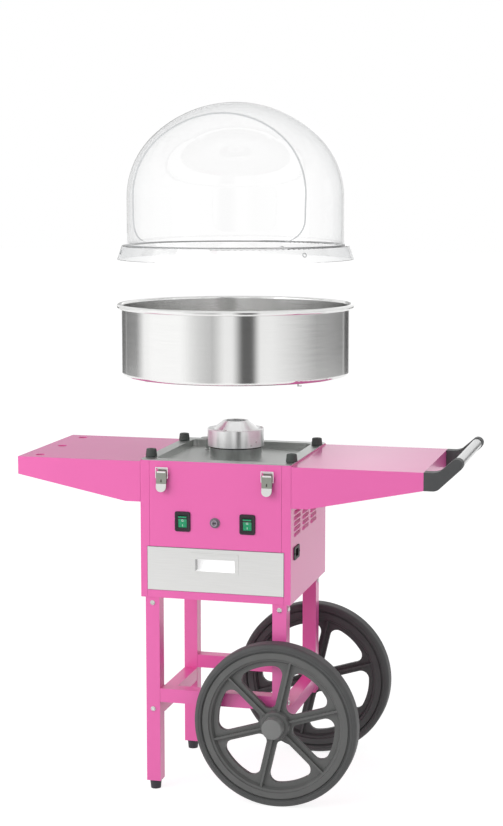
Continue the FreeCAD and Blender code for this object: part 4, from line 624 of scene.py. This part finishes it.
class CART_OT_latches(bpy.types.Operator):
    """Finishes the toggle latches and adds their tabs, rolled tops, curled plates and rivets"""
    bl_idname = "cart.latches"
    bl_label = "Latches"

    def execute(self, context):
        plain = plated_steel("dull_zinc")
        # The bail, tab, roll and curl take the near-white copy as painted highlight; the base and lever keep
        # the dull plating.
        bright = plated_steel("plating_painted_highlight")
        for side, _ in SIDES:
            dress(plain, "latch_base_" + side, "latch_lever_" + side)
            dress(bright, "latch_bail_" + side)
            self.tab(side, bright)
            self.roll(side, bright)
            self.curl(side, bright)
            self.rivets(side, plain)
        return {"FINISHED"}

    def tab(self, side, metal, length=6.5, tilt=-14, gauge=1.0, edge=0.3):
        """The lever's finger tab: a round end bent outwards."""
        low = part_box("latch_lever_" + side)[0]
        half = half_sizes("latch_lever_" + side)[0]
        turns = [math.radians(180 + 15 * step) for step in range(13)]
        outline = [(half * math.cos(turn), half * math.sin(turn)) for turn in turns]
        outline += [(half, length), (-half, length)]
        bend = (middle("latch_lever_" + side).x, low.y, low.z + (half + length) * MILLIMETRE)
        hinge = at(bend, (0, -1, 0)) @ Matrix.Rotation(math.radians(tilt), 4, "X")
        shape = bmesh.new()
        plate(shape, hinge @ Matrix.Translation((0, -length * MILLIMETRE, 0)), outline, gauge)
        bmesh.ops.bevel(shape, geom=shape.edges[:], offset=edge * MILLIMETRE, segments=2, affect="EDGES")
        keep("latch_tab_" + side, shape, metal, "latch_lever_" + side)

    def roll(self, side, metal, radius=2.2, inset=1.4, behind=1.8, below=0.9):
        """The lever's rolled top edge."""
        low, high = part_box("latch_lever_" + side)
        half = half_sizes("latch_lever_" + side)[0] - inset
        place = ((low.x + high.x) / 2, low.y + behind * MILLIMETRE, high.z - below * MILLIMETRE)
        shape = bmesh.new()
        barrel(shape, at(place, (1, 0, 0)), radius, half, chamfer=0.5, steps=20)
        keep("latch_roll_" + side, shape, metal, "latch_lever_" + side)

    def curl(self, side, metal, radius=3.2, inset=0.6, above=2.2):
        """The latch plate's curled top edge, under the bail."""
        low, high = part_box("latch_base_" + side)
        half = half_sizes("latch_base_" + side)[0] - inset
        place = ((low.x + high.x) / 2, FRONT_FACE, high.z + above * MILLIMETRE)
        shape = bmesh.new()
        barrel(shape, at(place, (1, 0, 0)), radius, half, chamfer=0.6, steps=28)
        keep("latch_curl_" + side, shape, metal, "cart")

    def rivets(self, side, metal, aside=5, above=4, proud=1.2):
        """Two rivets that hold the latch's plate to the front panel."""
        low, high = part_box("latch_base_" + side)
        shape = bmesh.new()
        for across in (-aside, aside):
            place = ((low.x + high.x) / 2 + across * MILLIMETRE, FRONT_FACE - proud * MILLIMETRE,
                     low.z + above * MILLIMETRE)
            lathe(shape, at(place, (0, -1, 0)), [(2.2, 0), (2.0, 0.6), (1.3, 1.0), (0, 1.1)], steps=20)
        keep("latch_rivets_" + side, shape, metal, "cart")


class CART_OT_controls(bpy.types.Operator):
    """Finishes the switches and the fuse holder, and adds the switches' frames and marks, and a black bar of
    painted shade across each rocker's top
    """
    bl_idname = "cart.controls"
    bl_label = "Controls"

    def execute(self, context):
        black = moulded("gloss_abs")
        green = translucent_polycarbonate()
        ink = printed_ink()
        dress(moulded("grey_abs"), "fuse_holder", "fuse_cap")
        self.fuse_painted_highlight_and_shade(black)
        for side, _ in SIDES:
            dress(black, "switch_bezel_" + side)
            dress(green, "rocker_" + side)
            # A black bar over each rocker's top is painted shade.
            self.bar_of_painted_shade(side, black)
            self.frame_of(side, black, context.scene.cart_sizes.bezel_corner)
            self.marks(side, ink)
        return {"FINISHED"}

    def frame_of(self, side, plastic, corner, lap=0.2, gap=1.3):
        """The switch's frame: a rounded rim that laps the solid and slopes into the rocker's well."""
        half_width, _, half_height = half_sizes("switch_bezel_" + side)
        proud = (FRONT_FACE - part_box("switch_bezel_" + side)[0].y) / MILLIMETRE
        well = half_sizes("rocker_" + side)[0] + gap
        reach = half_width + lap - well
        crown = [(0, 0), (0, proud - 0.9), (0.25, proud - 0.1), (0.9, proud + 0.4), (1.8, proud + 0.5)]
        slope = [(reach - 1.2, proud + 0.3), (reach - 0.3, proud - 0.3), (reach, proud - 1.2), (reach, -1)]
        centre = middle("switch_bezel_" + side)
        matrix = at((centre.x, FRONT_FACE, centre.z), (0, -1, 0))
        shape = bmesh.new()
        rim(shape, matrix, half_width + lap, half_height + lap, corner, crown + slope)
        keep("switch_rim_" + side, shape, plastic, "cart", sharp=50)

    def fuse_painted_highlight_and_shade(self, dark, aside=3.5):
        """A pale ring as a painted highlight, and a dark strip as the painted shade of the driver's slot, on
        the fuse cap, level with its face beside the middle.
        """
        centre = middle("fuse_cap")
        face = front_of("fuse_cap", centre.x + aside * MILLIMETRE, centre.z + aside * MILLIMETRE)[0].y
        matrix = at((centre.x, face, centre.z), (0, -1, 0))
        profile = [(4.9, -0.3), (4.9, 0.3), (5.3, 0.6), (6.2, 0.6), (6.6, 0.3), (6.6, -0.3)]
        shape = bmesh.new()
        lathe(shape, matrix, profile, steps=40)
        # The pale ring is a painted highlight.
        keep("fuse_ring_painted_highlight", shape, moulded("pale_abs_painted_highlight"), "cart")
        # The dark strip is the painted shade of the driver's slot.
        shape = bmesh.new()
        strip(shape, matrix, 3.8, 0.8, thickness=0.15)
        keep("fuse_slot_painted_shade", shape, dark, "cart")

    def bar_of_painted_shade(self, side, black, inset=1.4, below=4.6):
        """A black bar across the top of a rocker: painted shade, where the rocker's top lies in shadow under
        its frame.
        """
        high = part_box("rocker_" + side)[1]
        half = half_sizes("rocker_" + side)[0] - inset
        front = front_of("rocker_" + side, middle("rocker_" + side).x, high.z - below * MILLIMETRE)
        shape = bmesh.new()
        strip(shape, at(*front), half, 1.5, thickness=0.12)
        keep("rocker_painted_shade_bar_" + side, shape, black, "rocker_" + side)

    def marks(self, side, ink, thickness=0.12):
        """A ring above for off and a bar below for on, printed on the rocker's face."""
        low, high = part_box("rocker_" + side)
        across = (low.x + high.x) / 2
        levels = [low.z + share * (high.z - low.z) for share in (0.62, 0.2)]
        upper, lower = [at(*front_of("rocker_" + side, across, level)) for level in levels]
        ring = [(1.5, 0), (2.4, 0), (2.4, thickness), (1.5, thickness), (1.5, 0)]
        shape = bmesh.new()
        lathe(shape, upper, ring, steps=28)
        strip(shape, lower, 0.5, 2.3, thickness)
        keep("rocker_marks_" + side, shape, ink, "rocker_" + side)


class CART_OT_head(bpy.types.Operator):
    """Finishes the spinner and its pedestal"""
    bl_idname = "cart.head"
    bl_label = "Spinner"

    def execute(self, context):
        aluminium = turned_metal(
            "turned_aluminium", "F4F4F4", "E8E8E8", roughness=0.3, anisotropic=0.7, ring_pitch=0.9)
        dress(aluminium, "head_drum", "head_cone")
        # The pedestal's darker steel is painted reflection.
        dress(brushed_stainless("stainless_painted_dark_reflection"), "head_pedestal")
        return {"FINISHED"}


class CART_OT_bowl_and_dome(bpy.types.Operator):
    """Finishes the bowl and the dome, and adds the dome's seam and studs and the bowl's rivets"""
    bl_idname = "cart.bowl_and_dome"
    bl_label = "Bowl and dome"

    def execute(self, context):
        steel = turned_metal(
            "spun_stainless", "EBEBEA", "E1E1E0", roughness=0.17, anisotropic=0.85, ring_pitch=1.2)
        dress(steel, "bowl")
        # The dome's tint greys towards its edges: painted shade.
        dress(clear_acrylic("clear_acrylic", sharpness=3.0), "dome")
        edge = satin_acrylic("sawn_acrylic", "D6D8D9", "C4C6C7")
        self.opening(edge)
        self.skirt()
        self.seam(satin_acrylic("cemented_acrylic", "B6B8B9", "A4A6A7"))
        self.studs(edge)
        self.rivets()
        return {"FINISHED"}

    def opening(self, edge, sill=36, corner=46, front=70, aside=30):
        """The sawn edge of the dome's opening: faces that run straight across, above the sill and in front.

        Near the middle, where the wall itself runs straight across, only level and upright faces are edge.
        """
        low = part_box("dome")[0]
        centre = middle("dome")
        sill_level = low.z + sill * MILLIMETRE
        corner_level = low.z + corner * MILLIMETRE
        mouth = centre.y - front * MILLIMETRE

        def sawn(place, normal):
            off_middle = abs(place.x - centre.x) > aside * MILLIMETRE
            level = normal.z > 0.9 and place.z < corner_level
            upright = abs(normal.y) > 0.7 and place.z > corner_level
            straight = abs(normal.x) < 0.02 and (off_middle or level or upright)
            return straight and place.y < mouth and place.z > sill_level

        dress_faces(edge, "dome", sawn)

    def skirt(self, height=29):
        """The dome's skirt, whose painted edge shade greys sooner than the wall's."""
        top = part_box("dome")[0].z + height * MILLIMETRE
        sooner_painted_shade = clear_acrylic("skirt_acrylic_painted_shade", sharpness=1.6)
        dress_faces(sooner_painted_shade, "dome", lambda place, normal: place.z < top)

    def seam(self, cement, radius=236.9, level=31.0, bead=1.25):
        """The bead of cement where the dome's wall meets its skirt."""
        centre = middle("dome")
        turns = [math.tau * step / 8 for step in range(9)]
        profile = [(radius + bead * math.cos(turn), level + bead * math.sin(turn)) for turn in turns]
        shape = bmesh.new()
        lathe(shape, at((centre.x, centre.y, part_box("dome")[0].z)), profile, steps=256)
        keep("dome_seam", shape, cement, "dome")

    def studs(self, edge, level=16, turns=(49.3, 169.6, 296), reach=400):
        """Three hollow studs in the dome's skirt, at angles from the front; rays find it from outside."""
        centre = middle("dome")
        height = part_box("dome")[0].z + level * MILLIMETRE
        profile = [(3.4, 0), (5.2, 0), (5.2, 0.9), (4.8, 1.3), (3.8, 1.3), (3.4, 0.9), (3.4, 0)]
        shape = bmesh.new()
        for turn in turns:
            angle = math.radians(turn)
            out = Vector((math.sin(angle), -math.cos(angle), 0))
            start = Vector((centre.x, centre.y, height)) + out * (reach * MILLIMETRE)
            lathe(shape, at(*touch("dome", start, -out)), profile, steps=28)
        keep("skirt_studs", shape, edge, "dome")

    def rivets(self, inset_across=13, inset_along=4, gauge=1.2):
        """The rivets that hold the hooks, seen inside the bowl."""
        low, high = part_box("bowl_hooks")
        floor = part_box("bowl")[0].z + gauge * MILLIMETRE
        profile = [(4.0, 0), (3.6, 1.0), (2.4, 1.7), (0, 2.0)]
        shape = bmesh.new()
        for across in (low.x + inset_across * MILLIMETRE, high.x - inset_across * MILLIMETRE):
            for along in (low.y + inset_along * MILLIMETRE, high.y - inset_along * MILLIMETRE):
                lathe(shape, at((across, along, floor)), profile, steps=20)
        keep("bowl_rivets", shape, plated_steel("stainless_rivets"), "bowl")


class CART_OT_wheels(bpy.types.Operator):
    """Finishes the wheels and tyres, and adds the ribs of the tyres' sides"""
    bl_idname = "cart.wheels"
    bl_label = "Wheels"

    def execute(self, context):
        for end, _ in ENDS:
            # Each wheel takes its own copy of each finish; the rear's copies are darker, as painted shade.
            dress(moulded("moulded_polypropylene_" + end), "wheel_" + end)
            dress(moulded("hub_cap_plastic_painted_light_and_shade_" + end), "hub_cap_" + end)
            rubber = moulded("tyre_compound_painted_light_and_shade_" + end)
            dress(rubber, "tyre_" + end)
            self.ribs(end, rubber, context.scene.cart_sizes.bead_height)
        return {"FINISHED"}

    def ribs(self, end, rubber, height, rings=((9.2, 1.1), (15.2, 0.9)), sunk=0.6):
        """The raised rings on a tyre's sides, each an inset from the tread and half a width."""
        _, half, radius = half_sizes("tyre_" + end)
        shape = bmesh.new()
        for face in (-1, 1):
            matrix = at(middle("tyre_" + end), (0, face, 0))
            for inset, width in rings:
                crest = radius - inset
                flank = half + 0.6 * height
                lathe(shape, matrix, [
                    (crest - width, half - sunk), (crest - 0.6 * width, flank), (crest, half + height),
                    (crest + 0.6 * width, flank), (crest + width, half - sunk)], steps=128)
        keep("tyre_ribs_" + end, shape, rubber, "wheel_" + end, sharp=60)


# Stage ----------------------------------------------------------------------------------

def stand_in_scene(name, shape, glow):
    """Puts a stage mesh in the scene; glow fills its material's tree and gives the socket of its surface."""
    mesh = bpy.data.meshes.new(name)
    shape.to_mesh(mesh)
    shape.free()
    material, tree = empty_material(name)
    add_node(tree, "ShaderNodeOutputMaterial", {"Surface": glow(tree)})
    mesh.materials.append(material)
    thing = bpy.data.objects.new(name, mesh)
    bpy.context.scene.collection.objects.link(thing)
    return thing


def seen_directly(tree):
    """One for rays from the camera, off a mirror or through glass, and nought for spreading light."""
    path = add_node(tree, "ShaderNodeLightPath").outputs
    total = path["Is Camera Ray"]
    for name in ("Is Glossy Ray", "Is Transmission Ray"):
        either = add_node(tree, "ShaderNodeMath", {0: total, 1: path[name]}, operation="MAXIMUM")
        total = either.outputs[0]
    return total


def white_room(strength):
    """A world that is seen as plain white and lights the cart evenly and less strongly."""
    world = bpy.data.worlds.new("white_room")
    bpy.context.scene.world = world
    world.use_nodes = True
    tree = world.node_tree
    tree.nodes.clear()
    light = add_node(tree, "ShaderNodeBackground", {"Color": linear("FFFFFF"), "Strength": strength})
    white = add_node(tree, "ShaderNodeBackground", {"Color": linear("FFFFFF"), "Strength": 1.0})
    mix = add_node(tree, "ShaderNodeMixShader", {
        0: seen_directly(tree), 1: light.outputs["Background"], 2: white.outputs["Background"]})
    add_node(tree, "ShaderNodeOutputWorld", {"Surface": mix.outputs["Shader"]})


def floor_glow(tree, strength=0.84):
    """Paper white that spreads light, and seen directly glows to white but keeps the cart's shadow."""
    paper = add_node(tree, "ShaderNodeBsdfDiffuse", {"Color": linear("F0F0F0")})
    shade = add_node(tree, "ShaderNodeBsdfDiffuse", {"Color": linear("A0A0A0")})
    glow = add_node(tree, "ShaderNodeEmission", {"Color": linear("FFFFFF"), "Strength": strength})
    lit = add_node(tree, "ShaderNodeAddShader", {0: shade.outputs["BSDF"], 1: glow.outputs["Emission"]})
    mix = add_node(tree, "ShaderNodeMixShader", {
        0: seen_directly(tree), 1: paper.outputs["BSDF"], 2: lit.outputs["Shader"]})
    return mix.outputs["Shader"]


def around(angle, distance, height):
    """A place round the spinner's axis, at an angle in degrees from the front towards the right."""
    turn = math.radians(angle)
    axis = middle("head_drum")
    return Vector((axis.x + distance * math.sin(turn), axis.y - distance * math.cos(turn), height))


def light_panel(name, angle, distance, height, size, brightness, aim_height=0.8):
    """A square soft lamp that faces the cart and that no metal mirrors.

    The brightness of its surface sets its power.
    """
    data = bpy.data.lights.new(name, "AREA")
    data.size = size
    data.energy = brightness * math.pi * size ** 2
    lamp = bpy.data.objects.new(name, data)
    lamp.location = around(angle, distance, height)
    aim = around(0, 0, aim_height) - lamp.location
    lamp.rotation_euler = aim.to_track_quat("-Z", "Y").to_euler()
    lamp.visible_glossy = False
    bpy.context.scene.collection.objects.link(lamp)


def mirror_card(name, start, end, grey, path, strength, fade, scale, steps=48):
    """A curved card that only mirrors see, between two angles, along a path of (distance, height) points.

    Its two ends fade out over so many degrees.
    """
    shape = bmesh.new()
    fading = shape.verts.layers.float.new("fade")
    rows = []
    for step in range(steps + 1):
        angle = start + (end - start) * step / steps
        shares = [abs(angle - edge) / width for edge, width in zip((start, end), fade) if width]
        rows.append([shape.verts.new(around(angle, distance, height)) for distance, height in path])
        for vertex in rows[-1]:
            vertex[fading] = min([1.0] + shares)
    for near, far in zip(rows, rows[1:]):
        for index in range(len(path) - 1):
            shape.faces.new((near[index], far[index], far[index + 1], near[index + 1]))

    def faded(tree):
        share = add_node(tree, "ShaderNodeAttribute", attribute_name="fade").outputs["Fac"]
        clear = add_node(tree, "ShaderNodeBsdfTransparent").outputs["BSDF"]
        glow = add_node(tree, "ShaderNodeEmission", {"Color": linear(grey), "Strength": strength})
        mix = add_node(tree, "ShaderNodeMixShader", {0: share, 1: clear, 2: glow.outputs["Emission"]})
        return mix.outputs["Shader"]

    card = stand_in_scene(name, shape, faded)
    card.scale = [scale] * 3
    card.visible_camera = False
    card.visible_diffuse = False
    card.visible_transmission = False
    card.visible_shadow = False


class CART_OT_stage(bpy.types.Operator):
    """Sets the camera, the lamps, the white floor and room, and the cards that metal mirrors"""
    bl_idname = "cart.stage"
    bl_label = "Stage"

    def execute(self, context):
        stage = context.scene.cart_stage
        context.scene.view_settings.view_transform = "Standard"
        self.camera(context.scene, stage)
        white_room(stage.room_light)
        self.floor()
        # Name, angle, distance, height, size and brightness.
        light_panel("key_panel", -56, 3.4, 1.6, 2.4, stage.key_light)
        light_panel("wash_panel", -30, 3.8, 2.4, 2.4, stage.wash_light)
        light_panel("fill_panel", 75, 3.6, 1.6, 2.0, stage.fill_light)
        self.cards()
        return {"FINISHED"}

    def camera(self, scene, stage, farthest=100):
        """A camera whose focal length in pixels holds for the picture's height."""
        data = bpy.data.cameras.new("camera")
        data.lens = stage.focal_pixels * data.sensor_width / stage.frame_height
        data.clip_end = farthest
        camera = bpy.data.objects.new("camera", data)
        camera.location = stage.camera_place
        camera.rotation_euler = (math.pi / 2 - stage.camera_dip, 0, stage.camera_turn)
        scene.collection.objects.link(camera)
        scene.camera = camera

    def floor(self, half_size=30):
        """The white floor, wide enough to reach the horizon."""
        shape = bmesh.new()
        bmesh.ops.create_grid(shape, x_segments=2, y_segments=2, size=half_size)
        stand_in_scene("floor", shape, floor_glow)

    def cards(self, spread=0.004):
        """The cards: grey ones darken bands of what metal mirrors, and those stronger than one brighten them.

        Each stands a little further out than the last, so that no two meet.
        """
        tall = ((1.5, 0.002), (4.5, 0.002), (4.5, 4.0))
        low = ((4.5, 0.3), (4.5, 1.0))
        high = ((4.5, 1.05), (4.5, 2.4))
        # Name, the angles of its two ends, grey, path, strength, and the degrees over which each end fades.
        cards = (
            ("card_near", 12, 38, "646464", tall, 1.0, (9, 7)),
            ("card_seam", -8.5, 4, "C8C8C8", tall, 1.0, (0, 12)),
            ("card_dim", -40, -8.5, "D8D8D8", tall, 1.0, (28, 0)),
            ("card_bright", -92, -22, "FFFFFF", tall, 1.18, (18, 14)),
            ("card_left", -128, -86, "7A7A7A", low, 1.0, (4, 14)),
            ("card_left_edge", -152, -124, "727272", low, 1.0, (8, 4)),
            ("card_right", 50, 152, "7E7E7E", low, 1.0, (50, 4)),
            ("card_right_edge", 148, 174, "505050", low, 1.0, (6, 4)),
            ("card_left_shelf", -172, -146, "C0C0C0", high, 1.0, (6, 6)),
            ("card_right_shelf", 182, 202, "FFFFFF", high, 1.35, (5, 5)),
        )
        for step, card in enumerate(cards):
            mirror_card(*card, scale=1 + spread * step)


OPERATORS = (CART_OT_sheet_metal, CART_OT_fittings, CART_OT_latches, CART_OT_controls, CART_OT_head,
             CART_OT_bowl_and_dome, CART_OT_wheels, CART_OT_stage)


class CART_PT_panel(bpy.types.Panel):
    """Lists the steps that dress the cart"""
    bl_idname = "CART_PT_panel"
    bl_label = "Candy-floss cart"
    bl_space_type = "VIEW_3D"
    bl_region_type = "UI"
    bl_category = "Cart"

    def draw(self, context):
        for step in OPERATORS:
            self.layout.operator(step.bl_idname)


CLASSES = (CartFinishes, CartSizes, CartStage, *OPERATORS, CART_PT_panel)


def register():
    """Registers the classes and hangs their settings on the scene."""
    for item in CLASSES:
        bpy.utils.register_class(item)
    bpy.types.Scene.cart_finishes = PointerProperty(type=CartFinishes)
    bpy.types.Scene.cart_sizes = PointerProperty(type=CartSizes)
    bpy.types.Scene.cart_stage = PointerProperty(type=CartStage)


def unregister():
    """Takes the settings off the scene and unregisters the classes."""
    del bpy.types.Scene.cart_stage
    del bpy.types.Scene.cart_sizes
    del bpy.types.Scene.cart_finishes
    for item in reversed(CLASSES):
        bpy.utils.unregister_class(item)


def main():
    """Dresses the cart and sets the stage."""
    register()
    bpy.ops.cart.sheet_metal()
    bpy.ops.cart.fittings()
    bpy.ops.cart.latches()
    bpy.ops.cart.controls()
    bpy.ops.cart.head()
    bpy.ops.cart.bowl_and_dome()
    bpy.ops.cart.wheels()
    bpy.ops.cart.stage()


if __name__ == "__main__":
    main()
